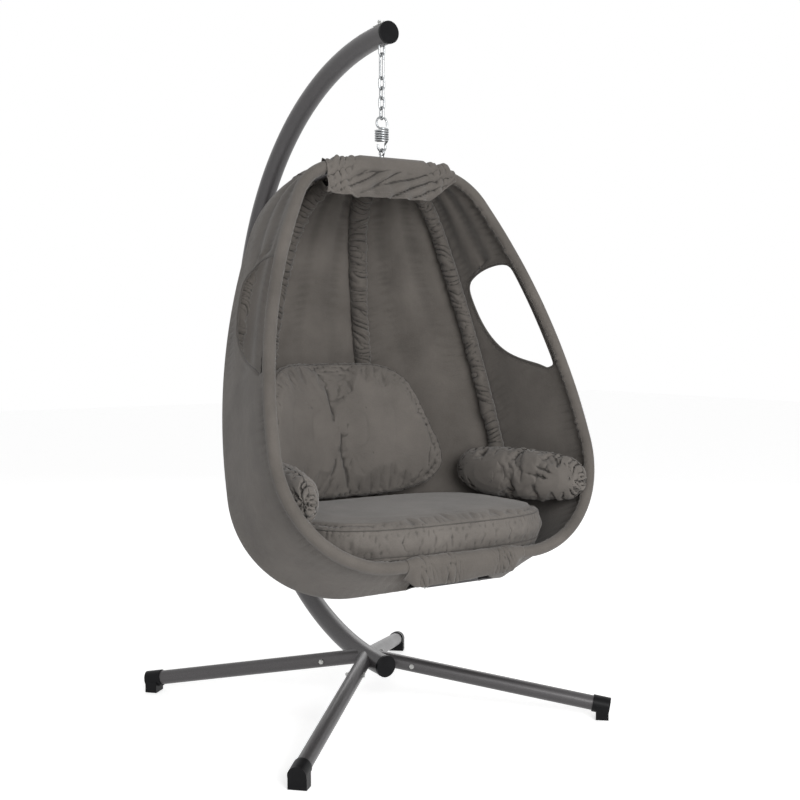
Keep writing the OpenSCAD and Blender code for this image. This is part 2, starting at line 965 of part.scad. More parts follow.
module rim(angle) {
    color(metal)
        at_frame()
            difference() {
                on_rib_plane(angle)
                    difference() {
                        bent_rod(rim_path, rim_bends, rim_r);
                        bent_rod(rim_path, rim_bends, rim_r - frame_wall);
                    }
                frame_bolt_holes();
            }
}

module rim_left() {
    rim(180);
}

module rim_right() {
    rim(0);
}

module rim_coupler() {
    outer = rim_r - frame_wall - slip;
    color(metal)
        at_frame()
            difference() {
                translate([0, rim_low_y, rim_low_z])
                    difference() {
                        along_x(-75, 75, outer);
                        along_x(-76, 76, outer - 1.5);
                    }
                frame_bolt_holes();
            }
}

module rib(angle, path, bends) {
    color(metal)
        at_frame()
            difference() {
                on_rib_plane(angle)
                    difference() {
                        bent_rod(path, bends, rib_r);
                        bent_rod(path, bends, rib_r - frame_wall);
                    }
                frame_bolt_holes();
            }
}

module rib_corner_left() {
    rib(180 - corner_rib_angle, corner_path, corner_bends);
}

module rib_rear_left() {
    rib(180 - rear_rib_angle, rear_path, rear_bends);
}

module rib_rear_right() {
    rib(rear_rib_angle, rear_path, rear_bends);
}

module rib_corner_right() {
    rib(corner_rib_angle, corner_path, corner_bends);
}

// A bracket of one bent plate: a flange under the hoop, a web, and a floor under the ribs
module bottom_bracket() {
    web_y = rim_low_y + rim_r + 8;
    corner = on_frame(low_corner_bolt_r, corner_rib_angle,
        lean_height(low_corner_bolt_r, corner_rib_angle, rib_low_z));
    rear = on_frame(low_rear_bolt_r, rear_rib_angle,
        lean_height(low_rear_bolt_r, rear_rib_angle, rib_low_z));
    half = rim_low_bolt_x + 20;
    floor_half = corner.x + 16;
    floor_back = max(corner.y, rear.y) + 16;
    color(metal)
        at_frame()
            difference() {
                union() {
                    translate([-half, rim_low_y - rim_r, flange_z - plate_t])
                        cube([2 * half, web_y + plate_t - rim_low_y + rim_r, plate_t]);
                    translate([-half, web_y, bracket_z - plate_t])
                        cube([2 * half, plate_t, flange_z - bracket_z + plate_t]);
                    translate([-floor_half, web_y, bracket_z - plate_t])
                        cube([2 * floor_half, floor_back - web_y, plate_t]);
                }
                frame_bolt_holes();
            }
}

module frame_bolts() {
    color(steel)
        at_frame() {
            top_bolt_places()
                bolt(frame_bolt_d, frame_bolt_l, bolt_head_d, bolt_head_h);
            low_rim_bolt_places()
                bolt(frame_bolt_d, frame_bolt_l, bolt_head_d, bolt_head_h);
            low_rib_bolt_places()
                bolt(frame_bolt_d, frame_bolt_l, bolt_head_d, bolt_head_h);
        }
}

module frame_nuts() {
    color(steel)
        at_frame() {
            for (side = [-1, 1])
                translate([side * rim_bolt_x, rim_top_y, -rim_r])
                    nut(frame_bolt_d, nut_w, nut_h);
            for (angle = [corner_rib_angle, rear_rib_angle]) {
                p = on_frame(top_bolt_r, angle, lean_height(top_bolt_r, angle, rib_top_z));
                for (side = [-1, 1])
                    translate([side * p.x, p.y, rib_top_z - rib_r])
                        nut(frame_bolt_d, nut_w, nut_h);
            }
            low_rim_bolt_places()
                translate([0, 0, -rim_d - plate_t])
                    nut(frame_bolt_d, nut_w, nut_h);
            low_rib_bolt_places()
                translate([0, 0, -rib_d - plate_t])
                    nut(frame_bolt_d, nut_w, nut_h);
        }
}

// ---- Soft goods ----

// Fabric hangs on six lines: the two sides of the hoop and the four ribs
rim_line = rounded(rim_path, rim_bends, 16);
corner_line = rounded(corner_path, corner_bends, 16);
rear_line = rounded(rear_path, rear_bends, 16);
line_angles = [
    0, corner_rib_angle, rear_rib_angle,
    180 - rear_rib_angle, 180 - corner_rib_angle, 180
];
lines = [rim_line, corner_line, rear_line, rear_line, corner_line, rim_line];
line_lengths = [for (line = lines) running(line)];
line_starts = [150, 125, 110, 110, 125, 150];
line_ends = [130, 85, 100, 100, 85, 130];
// Fabric lies this far behind the hoop, and its outer face this far outside the ribs,
// where it leaves a rib's sleeve at an angle
cloth_bend = 38.5;
rim_cloth_gap = rim_r + slip + 2.2;
rib_cloth_gap = sleeve_r / cos(cloth_bend) + slip + cloth_t;
line_out = [0, rib_cloth_gap, rib_cloth_gap, rib_cloth_gap, rib_cloth_gap, 0];

// A point and the way in, on line k at a share of its length
function line_point(k, share) =
    let (
        total = line_lengths[k][len(line_lengths[k]) - 1],
        d = blend(line_starts[k], total - line_ends[k], share),
        p = at_length(lines[k], line_lengths[k], d),
        way = unit(at_length(lines[k], line_lengths[k], d + 2)
            - at_length(lines[k], line_lengths[k], d - 2)),
        q = p - line_out[k] * [way.y, -way.x],
        behind = k == 0 || k == 5 ? rim_cloth_gap : 0,
        a = line_angles[k],
        o = on_frame(0, 0, 0)
    )
    [
        on_frame(q.x, a, q.y) + behind * (on_frame(1, 90, 0) - o),
        on_frame(way.y, a, -way.x) - o
    ];

window_reach = function(share)
    let (
        t = (share * shell_rows - window_first + 0.5) / (window_last - window_first + 0.5),
        near = min(max(t, 0), 1),
        least = window_edge + 0.12
    )
    max(window_wide * pow(1 - pow(near, 3.2), 0.8) * (1 - 0.35 * exp(-near / 0.03)), least);

// The columns of the grid: a line's number and a share of the way to the next line
function shell_columns(share) =
    let (w = window_reach(share))
    [
        [0, 0], [0, window_edge], [0, (window_edge + w) / 2], [0, w],
        [1, 0], [1, 0.33], [1, 0.67], [2, 0], [2, 0.33], [2, 0.67],
        [3, 0], [3, 0.33], [3, 0.67], [4, 0],
        [4, 1 - w], [4, 1 - (window_edge + w) / 2], [4, 1 - window_edge], [5, 0]
    ];

function shell_point(column, share, deep) =
    let (
        a = line_point(column[0], share),
        b = line_point(min(column[0] + 1, 5), share)
    )
    blend(a[0], b[0], column[1]) + deep * unit(blend(a[1], b[1], column[1]));

function shell_face(deep) = [
    for (i = [0:shell_rows])
        let (share = i / shell_rows)
        [for (column = shell_columns(share)) shell_point(column, share, deep)]
];

module fabric_shell() {
    is_window = function(i, j)
        (j == 1 || j == 2 || j == 14 || j == 15) && i >= window_first && i < window_last;
    color(cloth)
        at_frame()
            sheet(shell_face(0), shell_face(cloth_t), is_window);
}

// A piece of a line between two radii, on the upper or the lower run of the path
module cloth_tube(angle, path, bends, outer, inner) {
    at_frame()
        on_rib_plane(angle)
            difference() {
                bent_rod(path, bends, outer);
                bent_rod(path, bends, inner);
            }
}

// A path with its first and last runs cut back
function trimmed(path, from, to) =
    let (n = len(path) - 1)
    [
        path[0] + from * unit(path[1] - path[0]),
        for (i = [1:n - 1]) path[i],
        path[n] + to * unit(path[n - 1] - path[n])
    ];

rim_sleeve_path = trimmed(rim_path, top_plate_w / 2 + 2, 66);

module rim_channel(angle) {
    color(sleeve_cloth)
        cloth_tube(angle, rim_sleeve_path, rim_bends, rim_r + slip + 1.6, rim_r + slip);
}

module rim_channel_left() {
    rim_channel(180);
}

module rim_channel_right() {
    rim_channel(0);
}

// A gathered sleeve on the part of a rib that shows, cut from the whole bent tube
module sleeve(angle, path, bends) {
    cut_h = 800;
    cut_w = 100;
    color(sleeve_cloth)
        at_frame()
            on_rib_plane(angle)
                difference() {
                    bent_rod(path, bends, sleeve_r);
                    bent_rod(path, bends, rib_r + slip);
                    translate([0, cut_h / 2 - 100, 0])
                        cube([2 * sleeve_top, cut_h, cut_w], center = true);
                    translate([0, -cut_h / 2 - 400, 0])
                        cube([2 * sleeve_low, cut_h, cut_w], center = true);
                }
}

module sleeve_corner_left() {
    sleeve(180 - corner_rib_angle, corner_path, corner_bends);
}

module sleeve_rear_left() {
    sleeve(180 - rear_rib_angle, rear_path, rear_bends);
}

module sleeve_rear_right() {
    sleeve(rear_rib_angle, rear_path, rear_bends);
}

module sleeve_corner_right() {
    sleeve(corner_rib_angle, corner_path, corner_bends);
}

// The cover's rows run from its front hem over the top to its back hem.
// Each row has its place along Y, its share of the front's height, its height and its way in.
cover_t = 2;
cover_z = rib_top_z + rib_cloth_gap - 0.3;
cover_front = rim_top_y - rim_r - 8;
cover_half = 214;
cover_flat = 140;
cover_rows = [
    [cover_front - 2, 0, 0, [0, 1, 0]],
    [cover_front - 2, 0.3, 0, [0, 1, 0]],
    [cover_front - 1.5, 0.55, 0, [0, 1, 0]],
    [cover_front - 1, 0.74, 0, [0, 1, 0]],
    [cover_front, 0.92, 0, [0, 1, 0]],
    [cover_front + 6, 1, 0, [0, 0.5, -0.87]],
    [-24, 1, 0, [0, 0, -1]],
    [-9, 1, 0, [0, 0, -1]],
    [9, 1, 0, [0, 0, -1]],
    [50, 1, 0, [0, 0, -1]],
    [90, 1, -2, [0, 0, -1]],
    [122, 1, -6, [0, 0, -1]],
    [152, 1, -12, [0, 0, -1]],
    [182, 1, -21, [0, -0.3, -0.95]]
];
cover_columns = [for (k = [0:30]) k == 14 ? 9 : k == 16 ? -9 : cover_half * (15 - k) / 15];
cover_front_drop = 110;
fold_pitch = 57;

function cover_fall(x) =
    let (past = max(abs(x) - cover_flat, 0))
    190 - sqrt(190 * 190 - past * past);

function cover_hem(x) =
    cover_front_drop - 58 * pow(max(abs(x) - cover_flat, 0) / (cover_half - cover_flat), 1.5);

function cover_point(row, x) =
    let (
        slack = 1 - row[1],
        fold = fold_depth * slack * (0.5 - 0.5 * cos(360 * x / fold_pitch))
    )
    [x, row[0] - fold, cover_z + row[2] - cover_fall(x) - slack * cover_hem(x)];

module top_cover() {
    outer = [for (row = cover_rows) [for (x = cover_columns) cover_point(row, x)]];
    inner = [
        for (row = cover_rows)
            [for (x = cover_columns) cover_point(row, x) + cover_t * row[3]]
    ];
    is_hole = function(i, j) i == 7 && (j == 14 || j == 15);
    color(cloth)
        at_frame()
            sheet(outer, inner, is_hole);
}

// A wrap over the hoop's lower joint, from its front hem over the tube to behind it
wrap_r = rim_r + bolt_head_h + 2;
wrap_drop = 51;

module bottom_wrap() {
    half = 166;
    section = [
        [-wrap_r - 1, -wrap_drop, -1, 0],
        [-wrap_r, -wrap_drop / 2, -1, 0],
        for (a = [180:-20:0]) [wrap_r * cos(a), wrap_r * sin(a), cos(a), sin(a)]
    ];
    face = function(out) [
        for (p = section) [
            for (k = [0:12])
                [half - half * k / 6, rim_low_y + p[0] + out * p[2], rim_low_z + p[1] + out * p[3]]
        ]
    ];
    color(sleeve_cloth)
        at_frame()
            sheet(face(2.5), face(0), function(i, j) false);
}

seat_y = -120;
arm_y = -130;
seat_low_z = -1025.2;
seat_belly = 60;
back_y = 280.1;
back_z = -751;
back_lean = 8;
back_front = 42;
back_side = 30;
back_rear = 50;
back_curl = 165;
arm_x = 457.7 - arm_puff;
arm_z = -868;
arm_turn = 12;

module seat_cushion() {
    color(cushion_cloth)
        at_frame()
            translate([0, seat_y, seat_low_z + seat_side])
                cushion(
                    seat_half_w, seat_half_d, power = 3.4, top = seat_crown, side = seat_side,
                    low = seat_belly, sharp = 4
                );
}

module back_cushion() {
    color(cushion_cloth)
        at_frame()
            translate([0, back_y, back_z])
                rotate([90 - back_lean, 0, 0])
                    cushion(
                        back_half_w, back_half_h, power = 4, top = back_front, side = back_side,
                        low = back_rear, sharp = 2.6, curl = back_curl
                    );
}

module arm_pillow(side) {
    color(cushion_cloth)
        at_frame()
            translate([side * arm_x, arm_y, arm_z])
                rotate([0, 0, side * arm_turn])
                    rotate([90, 0, 90])
                        cushion(
                            arm_half_l, arm_half_h, power = 2.6, top = arm_puff, side = 0,
                            low = arm_puff, sharp = 2.2
                        );
}

module arm_pillow_left() {
    arm_pillow(-1);
}

module arm_pillow_right() {
    arm_pillow(1);
}

pole_lower();
pole_upper();
pole_coupler();
pole_bolts();
pole_nuts();
pole_top_cap();
pole_bottom_cap();
leg_front_left();
leg_front_right();
leg_rear_left();
leg_rear_right();
leg_bolts();
leg_nuts();
foot_front_left();
foot_front_right();
foot_rear_left();
foot_rear_right();
hanger_ubolt();
hanger_saddle();
hanger_nuts();
long_link();
chain_link_1();
chain_link_2();
chain_link_3();
chain_link_4();
spring();
eye_bolt();
eye_washers();
eye_nut();
top_plate();
rim_left();
rim_right();
rim_coupler();
rib_corner_left();
rib_rear_left();
rib_rear_right();
rib_corner_right();
bottom_bracket();
frame_bolts();
frame_nuts();
fabric_shell();
rim_channel_left();
rim_channel_right();
sleeve_corner_left();
sleeve_rear_left();
sleeve_rear_right();
sleeve_corner_right();
top_cover();
bottom_wrap();
seat_cushion();
back_cushion();
arm_pillow_left();
arm_pillow_right();
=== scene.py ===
import math

import bmesh
import bpy
import numpy as np
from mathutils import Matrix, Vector, noise
from mathutils.bvhtree import BVHTree
from mathutils.kdtree import KDTree


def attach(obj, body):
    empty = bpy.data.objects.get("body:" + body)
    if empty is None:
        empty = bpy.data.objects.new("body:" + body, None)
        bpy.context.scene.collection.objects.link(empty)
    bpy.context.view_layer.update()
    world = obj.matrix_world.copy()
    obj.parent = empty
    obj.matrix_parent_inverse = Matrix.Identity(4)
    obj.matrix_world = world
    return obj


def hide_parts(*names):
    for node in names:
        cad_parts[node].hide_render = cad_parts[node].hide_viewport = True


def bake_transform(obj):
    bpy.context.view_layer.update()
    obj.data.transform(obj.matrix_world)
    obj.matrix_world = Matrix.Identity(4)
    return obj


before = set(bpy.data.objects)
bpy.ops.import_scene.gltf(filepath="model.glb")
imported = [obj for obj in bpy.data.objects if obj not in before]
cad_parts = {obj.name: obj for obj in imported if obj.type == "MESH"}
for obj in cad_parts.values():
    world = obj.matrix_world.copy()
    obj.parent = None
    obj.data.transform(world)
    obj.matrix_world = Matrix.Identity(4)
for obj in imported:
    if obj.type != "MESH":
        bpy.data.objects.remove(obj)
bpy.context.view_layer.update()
scene = bpy.context.scene
mm = 0.001
print("Frame loaded:", len(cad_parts), "nodes")

# Metres, and millimetres for the lens and the sensor
cameraSettings = {
    "place": (-2.0006, -3.2612, 1.1056), "target": (0.115, -0.149, 0.897), "lens": 57.65, "sensor": 36,
}


# Puts a camera or a lamp in the scene, turned to its target
def placeAimed(name, data, place, target):
    aimed = bpy.data.objects.new(name, data)
    aimed.location = place
    aimed.rotation_euler = (Vector(target) - Vector(place)).to_track_quat("-Z", "Y").to_euler()
    scene.collection.objects.link(aimed)
    return aimed


cameraData = bpy.data.cameras.new("viewCamera")
cameraData.sensor_width = cameraSettings["sensor"]
cameraData.lens = cameraSettings["lens"]
scene.camera = placeAimed("viewCamera", cameraData, cameraSettings["place"], cameraSettings["target"])
print("Camera set")

# Millimetres across one cell of each pattern. Real threads are 0.6 mm apart, flecks and moulded grain are
# finer than 0.2 mm and a thread's twist is 0.5 mm; these four are drawn coarser so that they still show.
patternSizes = {
    "thread": 2, "slub": 3.125, "crease": 29.4, "dyeCloud": 143, "fleck": 0.7143, "orangePeel": 2.38,
    "handling": 111, "grain": 1.111, "scuff": 25, "bathCloud": 8.33, "twist": 1.4286, "fibre": 16.7,
}


# Whole cells per metre, as a noise texture on metres takes them
def patternScale(name):
    return round(1 / (patternSizes[name] * mm))


# An sRGB colour as the linear values that a shader takes
def linear(hexText):
    parts = [int(hexText[k:k + 2], 16) / 255 for k in (1, 3, 5)]
    return tuple(v / 12.92 if v <= 0.04045 else ((v + 0.055) / 1.055) ** 2.4 for v in parts) + (1,)


def connect(tree, node, links):
    for key, source in links.items():
        tree.links.new(source, node.inputs[key])


# Adds a node with its settings, a ramp's colour stops among them, and its links
def addNode(tree, kind, settings=None, links=None):
    node = tree.nodes.new(kind)
    for key, value in (settings or {}).items():
        if key == "stops":
            for stop, (position, colour) in zip(node.color_ramp.elements, value):
                stop.position = position
                stop.color = linear(colour)
        elif isinstance(key, int) or key in node.inputs:
            node.inputs[key].default_value = value
        else:
            setattr(node, key, value)
    connect(tree, node, links or {})
    return node


def startMaterial(name, values):
    material = bpy.data.materials.new(name)
    material.use_nodes = True
    tree = material.node_tree
    shader = tree.nodes["Principled BSDF"]
    for key, value in values.items():
        shader.inputs[key].default_value = value
    return material, tree, shader, addNode(tree, "ShaderNodeTexCoord").outputs["Object"]


# Solution-dyed polyester canvas, plain woven: matt, soft to the eye, with cloudy dye, fine crumples and
# painted shade in its folds
def wovenCanvas(name, dark, light, crumple=0.35):
    material, tree, shader, place = startMaterial(name, {
        "Roughness": 0.86, "Specular IOR Level": 0.28, "Sheen Weight": 0.18, "Sheen Roughness": 0.5,
    })
    cloth = addNode(tree, "ShaderNodeUVMap", {"uv_map": "Cloth"}).outputs["UV"]
    bands = 2 * math.pi / 20 / (patternSizes["thread"] * mm)  # at scale 1, a wave is pi / 10 long
    warp, weft = (addNode(tree, "ShaderNodeTexWave", {
        "bands_direction": way, "Scale": bands, "Distortion": 0.6, "Detail": 1,
    }, {"Vector": cloth}) for way in "XY")
    weave = addNode(tree, "ShaderNodeMath", {"operation": "MULTIPLY"}, {
        0: warp.outputs["Fac"], 1: weft.outputs["Fac"],
    })
    clouds = addNode(tree, "ShaderNodeTexNoise", {
        "Scale": patternScale("dyeCloud"), "Detail": 4, "Roughness": 0.6,
    }, {"Vector": place})
    slubs = addNode(tree, "ShaderNodeTexNoise", {"Scale": patternScale("slub"), "Detail": 2}, {
        "Vector": cloth,
    })
    woven = addNode(tree, "ShaderNodeMath", {"operation": "MULTIPLY_ADD", 1: 0.35}, {
        0: weave.outputs[0], 2: clouds.outputs["Fac"],
    })
    tone = addNode(tree, "ShaderNodeMath", {"operation": "MULTIPLY_ADD", 1: 0.4, "use_clamp": True}, {
        0: slubs.outputs["Fac"], 2: woven.outputs[0],
    })
    ramp = addNode(tree, "ShaderNodeValToRGB", {"stops": [(0.45, dark), (1, light)]}, {
        "Fac": tone.outputs[0],
    })
    # Painted shade: the colour is darkened at the bottom of a fold, where the mesh is hollow
    paintedCreaseShade = addNode(tree, "ShaderNodeMapRange", {
        "From Min": 0.46, "From Max": 0.497, "To Min": 0.35, "To Max": 1.0,
    }, {"Value": addNode(tree, "ShaderNodeNewGeometry").outputs["Pointiness"]})
    shaded = addNode(tree, "ShaderNodeVectorMath", {"operation": "SCALE"}, {
        0: ramp.outputs["Color"], "Scale": paintedCreaseShade.outputs["Result"],
    })
    creases = addNode(tree, "ShaderNodeTexNoise", {
        "Scale": patternScale("crease"), "Detail": 5, "Roughness": 0.62, "Distortion": 0.5,
    }, {"Vector": place})
    creaseBump = addNode(tree, "ShaderNodeBump", {"Strength": crumple, "Distance": 0.004}, {
        "Height": creases.outputs["Fac"],
    })
    weaveBump = addNode(tree, "ShaderNodeBump", {"Strength": 0.35, "Distance": 0.0005}, {
        "Height": weave.outputs[0], "Normal": creaseBump.outputs["Normal"],
    })
    connect(tree, shader, {"Base Color": shaded.outputs["Vector"], "Normal": weaveBump.outputs["Normal"]})
    return material


# Polyester powder coat on steel: a satin skin with metallic fleck and a faint orange peel
def powderCoat(name, dark, light):
    material, tree, shader, place = startMaterial(name, {
        "Metallic": 0.35, "Roughness": 0.36, "Coat Weight": 0.12, "Coat Roughness": 0.25,
    })
    fleck = addNode(tree, "ShaderNodeTexVoronoi", {"Scale": patternScale("fleck")}, {"Vector": place})
    ramp = addNode(tree, "ShaderNodeValToRGB", {"stops": [(0.35, dark), (1, light)]}, {
        "Fac": fleck.outputs["Color"],
    })
    peel = addNode(tree, "ShaderNodeTexNoise", {"Scale": patternScale("orangePeel"), "Detail": 2}, {
        "Vector": place,
    })
    handled = addNode(tree, "ShaderNodeTexNoise", {
        "Scale": patternScale("handling"), "Detail": 4, "Roughness": 0.6,
    }, {"Vector": place})
    sheen = addNode(tree, "ShaderNodeMapRange", {"To Min": 0.3, "To Max": 0.44}, {
        "Value": handled.outputs["Fac"],
    })
    bump = addNode(tree, "ShaderNodeBump", {"Strength": 0.12, "Distance": 0.0004}, {
        "Height": peel.outputs["Fac"],
    })
    connect(tree, shader, {
        "Base Color": ramp.outputs["Color"], "Roughness": sheen.outputs["Result"],
        "Normal": bump.outputs["Normal"],
    })
    return material


# Injection-moulded polypropylene: black, with a fine spark-eroded grain
def mouldedPlastic(name, dark, light):
    material, tree, shader, place = startMaterial(name, {"Roughness": 0.42, "Specular IOR Level": 0.14})
    grain = addNode(tree, "ShaderNodeTexNoise", {"Scale": patternScale("grain"), "Detail": 3}, {
        "Vector": place,
    })
    scuffs = addNode(tree, "ShaderNodeTexNoise", {
        "Scale": patternScale("scuff"), "Detail": 5, "Roughness": 0.7,
    }, {"Vector": place})
    ramp = addNode(tree, "ShaderNodeValToRGB", {"stops": [(0.4, dark), (0.75, light)]}, {
        "Fac": scuffs.outputs["Fac"],
    })
    bump = addNode(tree, "ShaderNodeBump", {"Strength": 0.25, "Distance": 0.0003}, {
        "Height": grain.outputs["Fac"],
    })
    connect(tree, shader, {"Base Color": ramp.outputs["Color"], "Normal": bump.outputs["Normal"]})
    return material


# Electroplated steel: bright metal under a thin passivation, cloudy where the bath left it duller
def platedSteel(name, dark, light, smooth, dull):
    material, tree, shader, place = startMaterial(name, {"Metallic": 1})
    bath = addNode(tree, "ShaderNodeTexNoise", {
        "Scale": patternScale("bathCloud"), "Detail": 4, "Roughness": 0.6,
    }, {"Vector": place}).outputs["Fac"]
    ramp = addNode(tree, "ShaderNodeValToRGB", {"stops": [(0.3, dark), (0.7, light)]}, {"Fac": bath})
    polish = addNode(tree, "ShaderNodeMapRange", {"To Min": smooth, "To Max": dull}, {"Value": bath})
    bump = addNode(tree, "ShaderNodeBump", {"Strength": 0.1, "Distance": 0.0003}, {"Height": bath})
    connect(tree, shader, {
        "Base Color": ramp.outputs["Color"], "Roughness": polish.outputs["Result"],
        "Normal": bump.outputs["Normal"],
    })
    return material


# Spun polyester sewing thread, twisted, a shade lighter than the cloth
def sewingThread(name, dark, light):
    material, tree, shader, place = startMaterial(name, {"Roughness": 0.7, "Sheen Weight": 0.2})
    twist = addNode(tree, "ShaderNodeTexNoise", {"Scale": patternScale("twist"), "Detail": 2}, {
        "Vector": place,
    })
    ramp = addNode(tree, "ShaderNodeValToRGB", {"stops": [(0, dark), (1, light)]}, {
        "Fac": twist.outputs["Fac"],
    })
    connect(tree, shader, {"Base Color": ramp.outputs["Color"]})
    return material


basketCanvas = wovenCanvas("basketCanvas", "#4f4b47", "#68635e")
sleeveCanvas = wovenCanvas("sleeveCanvas", "#4a4642", "#645f5a", crumple=0.5)
cushionCanvas = wovenCanvas("cushionCanvas", "#56524e", "#6f6a65", crumple=0.3)
tapeCanvas = wovenCanvas("bindingTape", "#3f3c39", "#55514d", crumple=0.2)
framePaint = powderCoat("graphitePowderCoat", "#413f40", "#545253")
capPlastic = mouldedPlastic("blackPolypropylene", "#08080a", "#101012")
chainZinc = platedSteel("brightZincSteel", "#8b8e90", "#b4b6b7", 0.2, 0.38)
boltSteel = platedSteel("clearZincSteel", "#8f908f", "#b9b9b6", 0.24, 0.42)
seamThread = sewingThread("polyesterThread", "#5d5954", "#8a857e")

# Each finish with the first letters of the nodes that have it
finishes = [
    (framePaint, ("pole_lower", "pole_upper", "pole_coupler", "leg_front", "leg_rear", "top_plate",
                  "rim_left", "rim_right", "rim_coupler", "rib_", "bottom_bracket")),
    (capPlastic, ("pole_top_cap", "pole_bottom_cap", "foot_")),
    (chainZinc, ("long_link", "chain_link", "hanger_ubolt", "eye_bolt")),
    (boltSteel, ("hanger_saddle", "hanger_nuts", "eye_washers", "eye_nut", "pole_bolts", "pole_nuts",
                 "leg_bolts", "leg_nuts", "frame_bolts", "frame_nuts")),
]
for finish, starts in finishes:
    for name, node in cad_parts.items():
        if name.startswith(starts):
            for slot in node.material_slots:
                slot.material = finish
print("Materials made")


def lerp(a, b, t):
    return a + (b - a) * t


def ease(t):
    t = min(max(t, 0), 1)
    return t * t * (3 - 2 * t)


def wander(x, y, seed):
    return noise.noise(Vector((x, y, seed)))


# Length run along a path at each of its points
def measured(path):
    lengths = [0.0]
    for a, b in zip(path, path[1:]):
        lengths.append(lengths[-1] + (b - a).length)
    return lengths


def evenPoints(points, spacing, closed=False):
    path = list(points) + ([points[0]] if closed else [])
    lengths = measured(path)
    count = max(int(round(lengths[-1] / spacing)), 3)
    result, k = [], 0
    for n in range(count if closed else count + 1):
        d = lengths[-1] * n / count
        while k < len(lengths) - 2 and lengths[k + 1] < d:
            k += 1
        result.append(path[k].lerp(path[k + 1], (d - lengths[k]) / max(lengths[k + 1] - lengths[k], 1e-9)))
    return result


def smoothLoop(points, rounds):
    for _ in range(rounds):
        n = len(points)
        points = [(points[i - 1] + points[i] * 2 + points[(i + 1) % n]) / 4 for i in range(n)]
    return points


def paint(mesh, material):
    mesh.materials.clear()
    mesh.materials.append(material)
    mesh.polygons.foreach_set("use_smooth", [True] * len(mesh.polygons))


def placeMesh(name, mesh, material):
    paint(mesh, material)
    piece = bpy.data.objects.new(name, mesh)
    scene.collection.objects.link(piece)
    return piece


# A mesh from rows of points, with the cloth's own lengths in metres as its UV map
def gridMesh(name, rows, material, skip=None, closed=False):
    high, wide = len(rows), len(rows[0])
    sampled = rows[::8]  # enough rows to tell how far apart two columns are
    across = [0.0]
    for j in range(1, wide + 1):
        across.append(across[-1] + sum((row[j % wide] - row[j - 1]).length for row in sampled) / len(sampled))
    along = measured([row[wide // 2] for row in rows])
    faces, uvs = [], []
    for i in range(high - 1):
        for j in range(wide if closed else wide - 1):
            if skip and skip(i, j):
                continue
            k = (j + 1) % wide
            faces.append((i * wide + j, i * wide + k, (i + 1) * wide + k, (i + 1) * wide + j))
            uvs += [(across[j], along[i]), (across[j + 1], along[i]),
                    (across[j + 1], along[i + 1]), (across[j], along[i + 1])]
    mesh = bpy.data.meshes.new(name)
    mesh.from_pydata([p for row in rows for p in row], [], faces)
    layer = mesh.uv_layers.new(name="Cloth")
    layer.data.foreach_set("uv", np.array(uvs, np.float32).ravel())
    return placeMesh(name, mesh, material)


# Caps the rings of points given, merges points that lie on each other and turns the faces outwards
def closeMesh(mesh, rings=()):
    form = bmesh.new()
    form.from_mesh(mesh)
    form.verts.ensure_lookup_table()
    for ring in rings:
        form.faces.new([form.verts[k] for k in ring])
    bmesh.ops.remove_doubles(form, verts=form.verts, dist=0.01 * mm)
    bmesh.ops.recalc_face_normals(form, faces=form.faces)
    form.to_mesh(mesh)
    form.free()


# A tube with a ring at each point of a path. Its section is flattened along the way that it faces.
def tubeMesh(name, path, radius, material, sides, closed=False, flatten=1.0, facing=None):
    rings = []
    count = len(path)
    side = None
    for i, p in enumerate(path):
        ahead = path[(i + 1) % count] if closed or i < count - 1 else p
        behind = path[i - 1] if closed or i > 0 else p
        way = (ahead - behind).normalized()
        if facing:
            side = facing(i)
        elif side is None:
            side = Vector((0, 0, 1)) if abs(way.z) < 0.9 else Vector((1, 0, 0))
        side = (side - way * side.dot(way)).normalized()
        other = way.cross(side)
        ring = []
        for k in range(sides):
            a = 2 * math.pi * k / sides
            ring.append(p + side * (math.cos(a) * radius * flatten) + other * (math.sin(a) * radius))
        rings.append(ring)
    if closed:
        rings.append(rings[0])
    piece = gridMesh(name, rings, material, closed=True)
    last = (count - 1) * sides
    closeMesh(piece.data, () if closed else (tuple(range(sides))[::-1], tuple(range(last, last + sides))))
    return piece


def surfaceOf(mesh):
    faces = [tuple(face.vertices) for face in mesh.polygons]
    return BVHTree.FromPolygons([v.co for v in mesh.vertices], faces)


def evaluatedMesh(piece):
    depsgraph = bpy.context.evaluated_depsgraph_get()
    return bpy.data.meshes.new_from_object(piece.evaluated_get(depsgraph))


def finishCloth(piece, settings, node, length):
    solid = piece.modifiers.new("thickness", "SOLIDIFY")
    solid.thickness = settings["thickness"]
    solid.offset = -1
    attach(piece, "basket")
    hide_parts(node)


# A tree of Geometry Nodes that runs on a curve. Each input has a label, a kind of socket and a first value.
def startTree(name, inputs):
    tree = bpy.data.node_groups.new(name, "GeometryNodeTree")
    sockets = tree.interface
    sockets.new_socket("Geometry", in_out="INPUT", socket_type="NodeSocketGeometry")
    for label, kind, value in inputs:
        sockets.new_socket(label, in_out="INPUT", socket_type="NodeSocket" + kind).default_value = value
    sockets.new_socket("Material", in_out="INPUT", socket_type="NodeSocketMaterial")
    sockets.new_socket("Geometry", in_out="OUTPUT", socket_type="NodeSocketGeometry")
    return tree, addNode(tree, "NodeGroupInput").outputs


def endTree(tree, given, geometry):
    real = addNode(tree, "GeometryNodeRealizeInstances", None, {"Geometry": geometry})
    painted = addNode(tree, "GeometryNodeSetMaterial", None, {
        "Geometry": real.outputs["Geometry"], "Material": given["Material"],
    })
    addNode(tree, "NodeGroupOutput", None, {"Geometry": painted.outputs["Geometry"]})
    return tree


